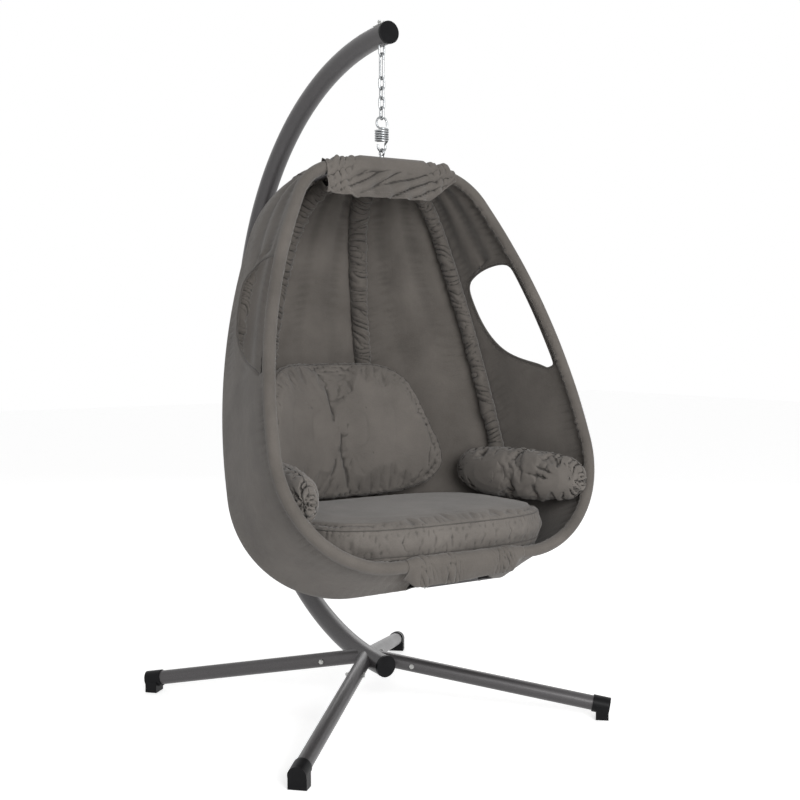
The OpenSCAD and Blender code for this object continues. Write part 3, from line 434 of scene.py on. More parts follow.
# Runs a tree on curves drawn through paths of points, and keeps the result as a plain mesh
def runTree(name, tree, paths, closed, values):
    curve = bpy.data.curves.new(name + "Line", "CURVE")
    curve.dimensions = "3D"
    for path in paths:
        spline = curve.splines.new("POLY")
        spline.points.add(len(path) - 1)
        spline.points.foreach_set("co", [v for p in path for v in (p.x, p.y, p.z, 1)])
        spline.use_cyclic_u = closed
    holder = bpy.data.objects.new(name + "Line", curve)
    scene.collection.objects.link(holder)
    modifier = holder.modifiers.new(tree.name, "NODES")
    modifier.node_group = tree
    for item in tree.interface.items_tree:
        if item.in_out == "INPUT" and item.name in values:
            modifier[item.identifier] = values[item.name]
    mesh = evaluatedMesh(holder)
    bpy.data.objects.remove(holder)
    return placeMesh(name, mesh, values["Material"])


# Lock stitches laid end to end along sewn lines
stitchSettings = {"spacing": 0.0062, "length": 0.0042, "thread": 0.0011, "lineStep": 0.005}


def buildStitchTree():
    tree, given = startTree("stitchRow", [
        ("Spacing", "Float", 0.006), ("Stitch length", "Float", 0.004), ("Thread thickness", "Float", 0.001),
    ])
    line = addNode(tree, "GeometryNodeResampleCurve", {"mode": "LENGTH"}, {
        "Curve": given["Geometry"], "Length": given["Spacing"],
    })
    tangent = addNode(tree, "GeometryNodeInputTangent")
    turn = addNode(tree, "FunctionNodeAlignRotationToVector", {"axis": "Z"}, {"Vector": tangent.outputs[0]})
    grain = addNode(tree, "GeometryNodeMeshUVSphere", {"Segments": 6, "Rings": 4, "Radius": 0.5})
    size = addNode(tree, "ShaderNodeCombineXYZ", None, {
        "X": given["Thread thickness"], "Y": given["Thread thickness"], "Z": given["Stitch length"],
    })
    placed = addNode(tree, "GeometryNodeInstanceOnPoints", None, {
        "Points": line.outputs["Curve"], "Instance": grain.outputs["Mesh"],
        "Rotation": turn.outputs["Rotation"], "Scale": size.outputs["Vector"],
    })
    return endTree(tree, given, placed.outputs["Instances"])


stitchTree = buildStitchTree()


def stitches(name, paths, closed=False):
    if not closed:
        paths = [evenPoints(path, stitchSettings["lineStep"]) for path in paths]
    piece = runTree(name, stitchTree, paths, closed, {
        "Spacing": stitchSettings["spacing"], "Stitch length": stitchSettings["length"],
        "Thread thickness": stitchSettings["thread"], "Material": seamThread,
    })
    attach(piece, "basket")
    return piece


# The basket's frame. Its hoop stands in a plane that leans back, and the ribs stand round the same leaning
# axis. A place on it is a radius from the axis, an angle from the right side, and a height along the axis.
basket = {
    "hang": (0, -227.037, 1550.01),  # mm, as are all the lengths here
    "tilt": 18.78, "ahead": 223, "drop": 550, "rimLow": -522, "ribTop": 1.5,
    "rimRadius": 12.5, "rimGap": 2.2, "sleeveRadius": 19, "slip": 0.3, "cloth": 3, "clothBend": 38.5,
}
tiltTurn = math.radians(basket["tilt"])
# Each line's corners are its radii at the top level, points at its side, and radii at the low level.
# The cloth starts and ends at lengths from the line's two ends.
frameLines = [
    {"angle": 0, "topLevel": 0, "top": (0, 258), "lowLevel": 0, "low": (),
     "side": [(494, 136), (518, basket["rimLow"]), (0, basket["rimLow"])],
     "bends": (171, 1546, 290), "clothStart": 150, "clothEnd": 130},
    {"angle": 36.5, "topLevel": basket["ribTop"], "top": (70, 302), "lowLevel": -1095, "low": (160, 80),
     "side": [(543, 120), (574, -526)], "bends": (268, 1700, 274, 120), "clothStart": 125, "clothEnd": 85},
    {"angle": 73, "topLevel": basket["ribTop"], "top": (70, 295), "lowLevel": -1095, "low": (130, 50),
     "side": [(631, 166), (657, -452)], "bends": (275, 1350, 258, 150), "clothStart": 110, "clothEnd": 100},
]


def fromHang(x, y, z):
    return (Vector(basket["hang"]) + Vector((x, y, z))) * mm


def onFrame(radius, angle, lean):
    a = math.radians(angle)
    return fromHang(radius * math.cos(a),
                    lean * math.sin(tiltTurn) + radius * math.sin(a) * math.cos(tiltTurn) - basket["ahead"],
                    lean * math.cos(tiltTurn) - radius * math.sin(a) * math.sin(tiltTurn) - basket["drop"])


def onFrameWay(radius, angle, lean):
    return (onFrame(radius, angle, lean) - onFrame(0, 0, 0)) / mm


# Height along the leaning axis of a place at level z
def leanHeight(radius, angle, z):
    back = radius * math.sin(math.radians(angle))
    return (z + basket["drop"] + back * math.sin(tiltTurn)) / math.cos(tiltTurn)


# A flat path with its corners bent round
def bentPath(corners, bends, steps=24):
    path = [Vector(corners[0])]
    for i in range(1, len(corners) - 1):
        p = Vector(corners[i])
        a = (p - Vector(corners[i - 1])).normalized()
        b = (Vector(corners[i + 1]) - p).normalized()
        turn = math.atan2(a.x * b.y - a.y * b.x, a.dot(b))
        side = 1 if turn > 0 else -1
        centre = p - a * (bends[i - 1] * math.tan(abs(turn) / 2)) + Vector((-a.y, a.x)) * side * bends[i - 1]
        start = math.atan2(a.y, a.x) - math.pi / 2 * side
        for k in range(steps + 1):
            t = start + turn * k / steps
            path.append(centre + Vector((math.cos(t), math.sin(t))) * bends[i - 1])
    path.append(Vector(corners[-1]))
    return path


def makeLine(settings):
    angle = settings["angle"]
    corners = [(r, leanHeight(r, angle, settings["topLevel"])) for r in settings["top"]] + settings["side"]
    corners += [(r, leanHeight(r, angle, settings["lowLevel"])) for r in settings["low"]]
    path = bentPath(corners, settings["bends"])
    return dict(settings, path=path, lengths=measured(path))


rightLines = [makeLine(settings) for settings in frameLines]
lines = rightLines + [dict(line, angle=180 - line["angle"]) for line in reversed(rightLines)]
rimBehind = basket["rimRadius"] + basket["slip"] + basket["rimGap"]
clothBend = math.radians(basket["clothBend"])
ribOut = basket["sleeveRadius"] / math.cos(clothBend) + basket["slip"] + basket["cloth"]
basketCentre = onFrame(0, 0, 0)
backward = onFrameWay(1, 90, 0)


def atLength(line, d):
    path, lengths = line["path"], line["lengths"]
    k = int(np.searchsorted(lengths, d, side="right")) - 1
    k = min(max(k, 0), len(path) - 2)
    return path[k] + (path[k + 1] - path[k]) * ((d - lengths[k]) / max(lengths[k + 1] - lengths[k], 0.001))


# A line's point at length d in its own plane, and its way there
def lineState(k, d):
    way = (atLength(lines[k], d + 2) - atLength(lines[k], d - 2)).normalized()
    return atLength(lines[k], d), way


# The same point on the basket, and the way in, square to the line
def lineOnFrame(k, d):
    p, way = lineState(k, d)
    angle = lines[k]["angle"]
    return onFrame(p.x, angle, p.y), onFrameWay(way.y, angle, -way.x)


# Where the cloth's outer face passes line k, and its way in
def clothOnLine(k, share):
    line = lines[k]
    p, way = lineState(k, lerp(line["clothStart"], line["lengths"][-1] - line["clothEnd"], share))
    angle = line["angle"]
    rim = k in (0, 5)
    q = p if rim else p - Vector((way.y, -way.x)) * ribOut
    place = onFrame(q.x, angle, q.y)
    if rim:
        place += backward * rimBehind * mm
    return place, onFrameWay(way.y, angle, -way.x)


# The basket's cloth in five panels between the six lines. Its window is counted in steps down the cloth.
shellSettings = {
    "rowsPerStep": 7, "steps": 36, "sideColumns": (4, 16, 14), "midColumns": 26, "length": 1.9,
    "thickness": 0.0016, "puckerDepth": 0.0016, "puckerPitch": 0.026, "puckerStart": 0.026,
    "puckerReach": 0.05, "puckerEnd": 0.16, "billow": 0.004, "hangFolds": 0.0035, "hangFoldCount": 2.6,
    "fanTop": 0.16, "fanLow": 0.9, "fanFade": (0.3, 0.25),
    "window": {"first": 9, "last": 17, "edge": 0.045, "wide": 0.83, "least": 0.12, "taper": 3.2, "belly": 0.8,
               "corner": 0.35, "arch": 0.35, "archSteps": 1.3, "rounding": 14, "ease": 14},
}


# How far across its panel the window reaches
def windowReach(share):
    window = shellSettings["window"]
    t = (share * shellSettings["steps"] - window["first"] + 0.5) / (window["last"] - window["first"] + 0.5)
    t = min(max(t, 0), 1)
    reach = window["wide"] * (1 - t ** window["taper"]) ** window["belly"]
    return max(reach * (1 - window["corner"] * math.exp(-t / 0.03)), window["edge"] + window["least"])


# Small folds that start at a rib's sewn edges, slack cloth between them, and folds that fan down from the top
def clothRelief(panel, u, share, width):
    settings = shellSettings
    along = share * settings["length"]
    start = settings["puckerStart"]
    relief = 0.0
    for edge, distance in ((panel, u * width), (panel + 1, (1 - u) * width)):
        if distance < settings["puckerEnd"]:
            reach = ease(distance / start) * math.exp(-max(distance - start, 0) / settings["puckerReach"])
            phase = along / settings["puckerPitch"] + 1.6 * wander(along * 9, edge * 3.1, 4.2)
            strength = 0.55 + 0.75 * wander(along * 5, edge * 7.7 + u, 9.1)
            ripple = math.sin(2 * math.pi * phase + distance * 40)
            relief += settings["puckerDepth"] * reach * strength * ripple
    slack = math.sin(math.pi * u)
    relief += settings["billow"] * slack * wander(along * 4.2, panel * 2.3 + u * 1.7, 1.5)
    fadeFrom, fadeOver = settings["fanFade"]
    low = settings["fanLow"] * (1 - ease((share - fadeFrom) / fadeOver))
    fan = (math.exp(-share / settings["fanTop"]) + low) * slack
    turns = settings["hangFoldCount"] * u + 0.7 * wander(along * 1.3, panel, 6.6)
    relief += settings["hangFolds"] * fan * math.sin(2 * math.pi * turns)
    return relief


# A point of a panel between its two ends on the lines, moved in by the folds and by a little more
def clothPoint(panel, u, share, ends, more=0):
    (a, aIn), (b, bIn) = ends
    relief = clothRelief(panel, u, share, (b - a).length)
    return a.lerp(b, u) + aIn.lerp(bIn, u).normalized() * (relief + more)


def shellColumns(reach):
    settings = shellSettings
    stops = [0, settings["window"]["edge"], reach, 1]
    side = []
    for a, b, count in zip(stops, stops[1:], settings["sideColumns"]):
        side += [lerp(a, b, n / count) for n in range(count)]
    count = settings["midColumns"]
    middle = [(panel, n / count) for panel in (1, 2, 3) for n in range(count)]
    return [(0, u) for u in side] + middle + [(4, 1 - u) for u in [1] + side[:0:-1]] + [(4, 1)]


def shellRow(i, rowCount, firstRow):
    settings = shellSettings
    window = settings["window"]
    share = i / rowCount
    reach = windowReach(share)
    ends = [clothOnLine(k, share) for k in range(6)]
    near = math.exp(-((i - firstRow) / settings["rowsPerStep"] / window["archSteps"]) ** 2)
    row = []
    for panel, u in shellColumns(reach):
        here, sides = share, ends[panel:panel + 2]
        if panel in (0, 4) and near > 0.01:
            across = ((u if panel == 0 else 1 - u) - window["edge"]) / (reach - window["edge"])
            lift = window["arch"] * near * math.sin(math.pi * min(max(across, 0), 1)) ** 0.8
            here = share - lift / settings["steps"]
            sides = clothOnLine(panel, here), clothOnLine(panel + 1, here)
        row.append(clothPoint(panel, u, here, sides))
    return row


def buildShell():
    settings = shellSettings
    window = settings["window"]
    rowCount = settings["rowsPerStep"] * settings["steps"]
    firstRow, lastRow = (window[key] * settings["rowsPerStep"] for key in ("first", "last"))
    rows = [shellRow(i, rowCount, firstRow) for i in range(rowCount + 1)]
    wide = len(rows[0])
    holeFrom = settings["sideColumns"][0]
    holeTo = holeFrom + settings["sideColumns"][1]

    def isHole(i, j):
        mirrored = wide - 2 - j
        return firstRow <= i < lastRow and (holeFrom <= j < holeTo or holeFrom <= mirrored < holeTo)

    ring = [(firstRow, j) for j in range(holeFrom, holeTo)]
    ring += [(i, holeTo) for i in range(firstRow, lastRow)]
    ring += [(lastRow, j) for j in range(holeTo, holeFrom, -1)]
    ring += [(i, holeFrom) for i in range(lastRow, firstRow, -1)]
    outlines = []
    reachOut = window["ease"]
    for flip in (False, True):
        # The outline is smoothed, and the cloth near it moves along
        cells = [(i, wide - 1 - j if flip else j) for i, j in ring]
        outline = smoothLoop([rows[i][j] for i, j in cells], window["rounding"])
        shift = {cell: point - rows[cell[0]][cell[1]] for cell, point in zip(cells, outline)}
        moved = {}
        for i in range(firstRow - reachOut, lastRow + reachOut + 1):
            for j in range(1, holeTo + reachOut):
                if firstRow < i < lastRow and holeFrom < j < holeTo:
                    continue
                nearest = (min(max(i, firstRow), lastRow), min(max(j, holeFrom), holeTo))
                off = max(abs(i - nearest[0]), abs(j - nearest[1]))
                share = 1 - ease(off / min(reachOut, holeFrom if j < holeFrom else reachOut))
                column = wide - 1 - j if flip else j
                edge = (nearest[0], wide - 1 - nearest[1] if flip else nearest[1])
                moved[(i, column)] = rows[i][column] + shift[edge] * share
        for (i, j), point in moved.items():
            rows[i][j] = point
        outlines.append(outline)
    return gridMesh("basketShell", rows, basketCanvas, skip=isHole), outlines


basketShell, windowOutlines = buildShell()
shellSurface = surfaceOf(basketShell.data)
print("Basket cloth:", len(basketShell.data.polygons), "faces")


# The cloth's nearest point, moved out of the basket by the distance given
def onShell(point, outward):
    place, normal, _, _ = shellSurface.find_nearest(point)
    if normal.dot(place - basketCentre) < 0:
        normal = -normal
    return place + normal * outward


# Tape bound round each window, and its two rows of stitches
bindingSettings = {
    "radius": 0.0034, "sides": 10, "flatten": 0.7, "spacing": 0.006, "rounding": 4, "sunk": 0.0008,
    "snap": 0.004, "stitchOffset": 0.0055, "stitchLevels": (0.0006, -0.0024),
}


def buildBinding(name, outline):
    settings = bindingSettings
    loop = smoothLoop(evenPoints(outline, settings["spacing"], True), settings["rounding"])
    loop = [onShell(p, -settings["sunk"]) if (onShell(p, 0) - p).length < settings["snap"] else p
            for p in loop]
    middle = sum(loop, Vector()) / len(loop)
    tape = tubeMesh(name, loop, settings["radius"], tapeCanvas, settings["sides"], closed=True,
                    flatten=settings["flatten"], facing=lambda i: loop[i] - basketCentre)
    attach(tape, "basket")
    rows = []
    for level in settings["stitchLevels"]:
        rows.append([onShell(p + (p - middle).normalized() * settings["stitchOffset"], level) for p in loop])
    stitches(name + "Stitches", rows, closed=True)
    return tape


bindings = [buildBinding("windowBinding" + side, outline)
            for side, outline in zip(("Right", "Left"), windowOutlines)]
print("Windows bound")

# Gathered sleeves on the ribs, in mm. The lap (how deep their edges lie) and the thickness are in metres.
sleeveSettings = {
    "cornerHalf": (26, 24), "rearHalf": (30, 22),  # half width at the top and low down
    "crest": 16, "topRadius": 226, "lowRadius": 176, "station": 2.6, "sides": 30,
    "ruche": 8.5, "pitch": 15, "slant": 1.8, "slantPitch": 130, "driftPitch": 60,
    "edgeWave": 2.2, "edgePitch": 17, "lap": 0.0012, "thickness": 0.0014,
}


# Ruched height over a sleeve's plain form, at length d and share v across
def sleeveFold(d, v, seed):
    settings = sleeveSettings
    slant = settings["slant"] * (0.4 + 1.6 * wander(d / settings["slantPitch"], 0.5, seed + 9))
    drift = d / settings["pitch"] + slant * (v - 0.5)
    drift += 1.1 * wander(d / settings["driftPitch"], v * 1.5, seed + 3)
    fold = (abs(wander(drift, v * 0.9, seed)) * 2) ** 0.65
    small = abs(wander(drift * 2.3, v * 3.1, seed + 7))
    return settings["ruche"] * (fold + 0.35 * small - 0.55) * math.sin(math.pi * v) ** 0.5


def buildSleeve(name, node, k, seed):
    settings = sleeveSettings
    line = lines[k]
    total = line["lengths"][-1]
    start, end = line["clothStart"], line["clothEnd"]
    half = settings["cornerHalf" if k in (1, 4) else "rearHalf"]
    stops = np.arange(0, total, 1.0)
    reachTop = min(d for d in stops if atLength(line, d).x > settings["topRadius"])
    reachLow = max(d for d in stops if atLength(line, d).x > settings["lowRadius"])
    count = int((reachLow - reachTop) / settings["station"])
    rows, edges = [], ([], [])
    for i in range(count + 1):
        d = lerp(reachTop, reachLow, i / count)
        share = min(max((d - start) / (total - end - start), 0), 1)
        centre, inward = lineOnFrame(k, d)
        w = lerp(half[0], half[1], ease(i / count * 1.4))
        sewn = []
        for side, panel in ((-1, k - 1), (1, k)):
            ends = clothOnLine(panel, share), clothOnLine(panel + 1, share)
            edgeWave = settings["edgeWave"] * wander(d / settings["edgePitch"], side * 3, seed)
            u = (w + edgeWave) * mm / (ends[1][0] - ends[0][0]).length
            sewn.append(clothPoint(panel, u if side > 0 else 1 - u, share, ends, settings["lap"]))
        a, b = sewn
        crest = (centre + inward * settings["crest"] * mm - (a + b) / 2).dot(inward)
        row = []
        for j in range(settings["sides"] + 1):
            v = j / settings["sides"]
            bow = math.sin(math.pi * v)
            out = (inward * bow - (b - a).normalized() * math.cos(math.pi * v)).normalized()
            flat = a.lerp(b, (1 - math.cos(math.pi * v)) / 2)
            row.append(flat + inward * crest * bow ** 0.8 + out * sleeveFold(d, v, seed) * mm)
        rows.append(row)
        for edge, point in zip(edges, (row[1], row[-2])):
            edge.append(point + inward * settings["lap"])
    piece = gridMesh(name, rows, sleeveCanvas)
    sewing = stitches(name + "Stitches", edges)
    finishCloth(piece, settings, node, (reachLow - reachTop) * mm)


buildSleeve("sleeveCornerRight", "sleeve_corner_right", 1, 11.3)
buildSleeve("sleeveRearRight", "sleeve_rear_right", 2, 23.7)
buildSleeve("sleeveRearLeft", "sleeve_rear_left", 3, 35.1)
buildSleeve("sleeveCornerLeft", "sleeve_corner_left", 4, 47.9)
print("Rib sleeves gathered")

# Sleeves on the hoop, in mm but for the thickness: smooth in front, gathered where they turn into the basket
rimSleeveSettings = {
    "from": 142, "shortOfEnd": 66, "radius": 15.2, "station": 3, "sides": 30,
    "gather": 3.6, "pitch": 13, "softness": 0.35, "seamOut": 0.6, "thickness": 0.0013,
}


def buildRimSleeve(name, node, k, seed):
    settings = rimSleeveSettings
    reach = lines[k]["lengths"][-1] - settings["shortOfEnd"]
    count = int((reach - settings["from"]) / settings["station"])
    rows, seam = [], []
    for i in range(count + 1):
        d = lerp(settings["from"], reach, i / count)
        centre, inward = lineOnFrame(k, d)
        intoBasket = (inward * 0.55 + backward * 0.83).normalized()
        row = []
        for j in range(settings["sides"]):
            a = 2 * math.pi * j / settings["sides"]
            out = inward * math.cos(a) + backward * math.sin(a)
            inside = ease((out.dot(intoBasket) - 0.1) / 0.6)
            drift = d / settings["pitch"] + 0.8 * wander(d / 70, a, seed)
            fold = abs(wander(drift, math.cos(a) * 1.2, seed)) * 2 - 0.35
            soft = settings["softness"] * wander(d / 90, math.sin(a) * 1.5, seed + 2)
            row.append(centre + out * (settings["radius"] + settings["gather"] * inside * fold + soft) * mm)
        rows.append(row)
        seam.append(centre + inward.normalized() * (settings["radius"] + settings["seamOut"]) * mm)
    piece = gridMesh(name, rows, sleeveCanvas, closed=True)
    sewing = stitches(name + "Stitches", [seam])
    finishCloth(piece, settings, node, (reach - settings["from"]) * mm)
    return piece


rimSleeves = [
    buildRimSleeve("rimSleeveRight", "rim_channel_right", 0, 5.3),
    buildRimSleeve("rimSleeveLeft", "rim_channel_left", 5, 8.9),
]
print("Hoop sleeves made")

finishCloth(basketShell, shellSettings, "fabric_shell", shellSettings["length"])

# Cover over the top plate. Its plain form is in mm; its drape, and the last line of its settings, in metres.
coverSettings = {
    "half": 214, "flat": 104, "drop": 110, "riseLeft": 30, "riseRight": 84, "foldPitch": 57, "foldDepth": 9,
    "bendRadius": 190, "bendFrom": 140, "shoulder": 8, "shoulderReach": 22, "sideReach": 30,
    "bunch": 11, "bunchPitch": 18, "crumple": 0.5, "crumplePitch": 34, "sweep": 17, "sweepPitch": 30,
    "band": 0.3, "bandStep": 5, "eyeHole": 8.5, "inFront": 8, "press": 0.3,
    "freeReach": 25, "backFrom": 40, "backReach": 60, "columns": 180, "rowsBetween": 7,
    "length": 0.44, "thickness": 0.0015, "hemRadius": 0.0028, "hemStep": 0.006, "seam": (0, -0.0006, 0.008),
}
drapeSettings = {"deepest": 0.12, "clear": 0.004, "unheld": 0.03, "rounds": 5}
rimTopPlace = onFrame(0, 0, leanHeight(0, 0, 0)) / mm - Vector(basket["hang"])
coverFront = rimTopPlace.y - basket["rimRadius"] - coverSettings["inFront"]
coverZ = basket["ribTop"] + ribOut - coverSettings["press"]
# Rows from the front hem to the back hem: place along Y, share of the front's height, height
coverRows = [
    (coverFront - 2, 0, 0), (coverFront - 2, 0.3, 0), (coverFront - 1.5, 0.55, 0), (coverFront - 1, 0.74, 0),
    (coverFront, 0.92, 0), (coverFront + 6, 1, 0), (-24, 1, 0), (-9, 1, 0), (9, 1, 0), (50, 1, 0),
    (90, 1, -2), (122, 1, -6), (152, 1, -12), (182, 1, -21),
]


def coverPoint(y, share, rise, x):
    settings = coverSettings
    past = max(abs(x) - settings["flat"], 0)
    slack = 1 - share
    fold = settings["foldDepth"] * slack * (0.5 - 0.5 * math.cos(2 * math.pi * x / settings["foldPitch"]))
    outward = past / (settings["half"] - settings["flat"])
    hem = settings["drop"] - settings["riseLeft" if x < 0 else "riseRight"] * outward ** 1.3
    bend, beyond = settings["bendRadius"], max(abs(x) - settings["bendFrom"], 0)
    fall = bend - math.sqrt(bend * bend - beyond ** 2)
    fall += settings["shoulder"] * ease(past / settings["shoulderReach"])
    z = coverZ + rise - fall - slack * hem
    # Bunched cloth over the hoop's bends at both sides, and folds that sweep down across the front
    side = ease(past / settings["sideReach"])
    drift = abs(x) / settings["bunchPitch"] + 1.2 * wander(y / 60, share * 2, 3.3)
    bunch = abs(wander(drift, y / 120 + share, 7.7)) * 2
    crumple = abs(wander(x / settings["crumplePitch"], z / 30 + y / 40, 2.1)) * 2
    lift = side * settings["bunch"] * (bunch + settings["crumple"] * crumple - 0.5)
    slope = (x * 0.5 - (z - coverZ) * 1.1) / settings["sweepPitch"]
    ridge = (abs(wander(slope, x / 260, 5.5)) * 2) ** 0.7 - 0.4
    sweep = ridge * settings["sweep"] * ease(slack * 1.6) * (1 - side * 0.3)
    below = ease((slack - settings["band"]) / 0.07)
    band = settings["bandStep"] * (1 - below) * ease(slack / 0.06) * (1 - side)
    front = (fold * (1 - 0.6 * side) + sweep) * lerp(below, 1, side) + band
    return fromHang(x, y - front - lift * slack * 0.8, z + lift * (1 - slack * 0.6))


# Lets the cover down onto the basket's cloth and the hoop's sleeves at its sides and back
def drapeCover(grid, rows):
    settings = drapeSettings
    solids = [shellSurface] + [surfaceOf(piece.data) for piece in rimSleeves]
    height = np.array([[p.z for p in row] for row in grid])
    for i, row in enumerate(grid):
        for j, p in enumerate(row):
            atBack = ease((rows[i][0] - coverSettings["backFrom"]) / coverSettings["backReach"])
            past = abs(p.x) / mm - coverSettings["flat"]
            free = max(ease(past / coverSettings["freeReach"]), atBack)
            if free <= 0 or rows[i][1] < 1:
                continue
            hits = [solid.ray_cast(p, Vector((0, 0, -1)), settings["deepest"])[0] for solid in solids]
            hits = [hit.z for hit in hits if hit is not None]
            low = max(hits) + settings["clear"] if hits else p.z - settings["unheld"]
            height[i][j] = min(p.z, lerp(p.z, low, free))
    for _ in range(settings["rounds"]):
        height[1:-1, 1:-1] = (height[1:-1, 1:-1] * 2 + height[:-2, 1:-1] + height[2:, 1:-1]
                              + height[1:-1, :-2] + height[1:-1, 2:]) / 6
    for i, row in enumerate(grid):
        for j, p in enumerate(row):
            if rows[i][1] == 1 and rows[i][0] > -30:
                p.z = height[i][j]


def buildCover():
    settings = coverSettings
    rows = []
    for above, below in zip(coverRows, coverRows[1:]):
        for n in range(settings["rowsBetween"]):
            rows.append(tuple(lerp(a, b, n / settings["rowsBetween"]) for a, b in zip(above, below)))
    rows.append(coverRows[-1])
    half, count = settings["half"], settings["columns"]
    grid = [[coverPoint(y, share, rise, half - 2 * half * k / count) for k in range(count + 1)]
            for y, share, rise in rows]

    def eyeHole(i, j):
        y = (rows[i][0] + rows[i + 1][0]) / 2
        x = half - 2 * half * (j + 0.5) / count
        return rows[i][1] == 1 and math.hypot(x, y) < settings["eyeHole"]

    drapeCover(grid, rows)
    piece = gridMesh("topCover", grid, basketCanvas, skip=eyeHole)
    hemTube = tubeMesh("topCoverHem", evenPoints(grid[0], settings["hemStep"]), settings["hemRadius"],
                       basketCanvas, 10)
    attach(hemTube, "basket")
    sewing = stitches("topCoverStitches", [[p + Vector(settings["seam"]) for p in grid[1]]])
    finishCloth(piece, settings, "top_cover", settings["length"])


buildCover()
print("Top cover draped")

# Wrap round the hoop's lower joint: a tube with a flap that hangs in front. The last line is in metres.
wrapSettings = {
    "half": 188, "radius": 17.5, "loose": 2.5, "tight": 0.6, "drop": 55, "dropRight": 46, "endReach": 34,
    "columns": 170, "flapRows": 14, "tubeRows": 21, "rowTurn": 9, "flapCurl": 16, "endCurl": 12,
    "seams": (-64, 96, 132), "seamDepth": 1.8, "seamReach": 3, "seamLean": 0.3, "besideSeam": 6,
    "bunchAt": (-130, -50, 120), "bunchReach": 30, "depth": 5, "softness": 1.6, "softPitch": 36,
    "thickness": 0.0016, "stitchProud": 0.0006,
}
rimLowPlace = onFrame(0, 0, basket["rimLow"]) / mm - Vector(basket["hang"])


# The wrap's plain place at x in row n, and its way out
def wrapForm(x, n):
    settings = wrapSettings
    end = ease((abs(x) - settings["half"] + settings["endReach"]) / settings["endReach"])
    r = lerp(settings["radius"] + settings["loose"], settings["radius"] - settings["tight"], end)
    drop = lerp(settings["drop"], settings["dropRight"], ease((x + 60) / 200)) * (1 - 0.4 * end)
    if n < settings["flapRows"]:
        t = 1 - n / settings["flapRows"]
        y, z = -r + settings["flapCurl"] * t ** 2.2 + settings["endCurl"] * end * t, -drop * t
        out = Vector((0, -1, -0.9 * t * t)).normalized()
    else:
        a = math.radians(180 - settings["rowTurn"] * (n - settings["flapRows"]))
        y, z = r * math.cos(a), r * math.sin(a)
        out = Vector((0, math.cos(a), math.sin(a)))
    return fromHang(x, rimLowPlace.y + y, rimLowPlace.z + z), out


def buildWrap():
    settings = wrapSettings
    rows, seamPaths = [], [[] for _ in settings["seams"]]
    for n in range(settings["flapRows"] + settings["tubeRows"]):
        row = []
        for k in range(settings["columns"] + 1):
            x = settings["half"] * (1 - 2 * k / settings["columns"])
            place, out = wrapForm(x, n)
            relief = settings["softness"] * wander(x / settings["softPitch"], n / 8, 3.1)
            for at in settings["bunchAt"]:
                near = math.exp(-((x - at) / settings["bunchReach"]) ** 2)
                fold = (abs(wander(x / 12 + n / 9, n / 14, at)) * 2) ** 0.7 - 0.4
                relief += settings["depth"] * near * fold
            for at in settings["seams"]:
                off = (x - at - n * settings["seamLean"]) / settings["seamReach"]
                relief -= settings["seamDepth"] * math.exp(-off ** 2)
            row.append(place + out * relief * mm)
        rows.append(row)
        for path, at in zip(seamPaths, settings["seams"]):
            k = int(round((1 - (at + settings["besideSeam"]) / settings["half"]) * settings["columns"] / 2))
            path.append(row[k] + out * settings["stitchProud"])
    piece = gridMesh("bottomWrap", rows, sleeveCanvas)
    sewing = stitches("bottomWrapStitches", seamPaths)
    finishCloth(piece, settings, "bottom_wrap", 2 * settings["half"] * mm)


buildWrap()
print("Bottom wrap made")

# Spring of round wire, in mm: a hook over the coil, the coil's turns and a hook below. Angles in degrees.
springSettings = {
    "wire": 3, "sides": 14, "turns": 5, "coilRadius": 17.4, "lowHook": 13, "top": 1699.89,
    "bodyTop": 1665.49, "bodyLow": 1631.75, "hookLead": 9.65, "hookStart": 205, "coilStart": 250,
    "hookTip": 4, "tail": 6, "bend": 26, "lowBend": 22, "hookSteps": 30, "turnSteps": 32, "bendSteps": 14,
}


def buildWireTree():
    tree, given = startTree("roundWire", [("Wire radius", "Float", 0.003), ("Sides", "Int", 12)])
    ring = addNode(tree, "GeometryNodeCurvePrimitiveCircle", None, {
        "Resolution": given["Sides"], "Radius": given["Wire radius"],
    })
    wire = addNode(tree, "GeometryNodeCurveToMesh", {"Fill Caps": True}, {
        "Curve": given["Geometry"], "Profile Curve": ring.outputs["Curve"],
    })
    return endTree(tree, given, wire.outputs["Mesh"])


# A smooth run from p to q that leaves and comes in by the ways given
def bridge(p, pWay, q, qWay, steps):
    result = []
    for k in range(1, steps):
        t = k / steps
        result.append(p * (2 * t ** 3 - 3 * t * t + 1) + pWay * (t ** 3 - 2 * t * t + t)
                      + q * (3 * t * t - 2 * t ** 3) + qWay * (t ** 3 - t * t))
    return result


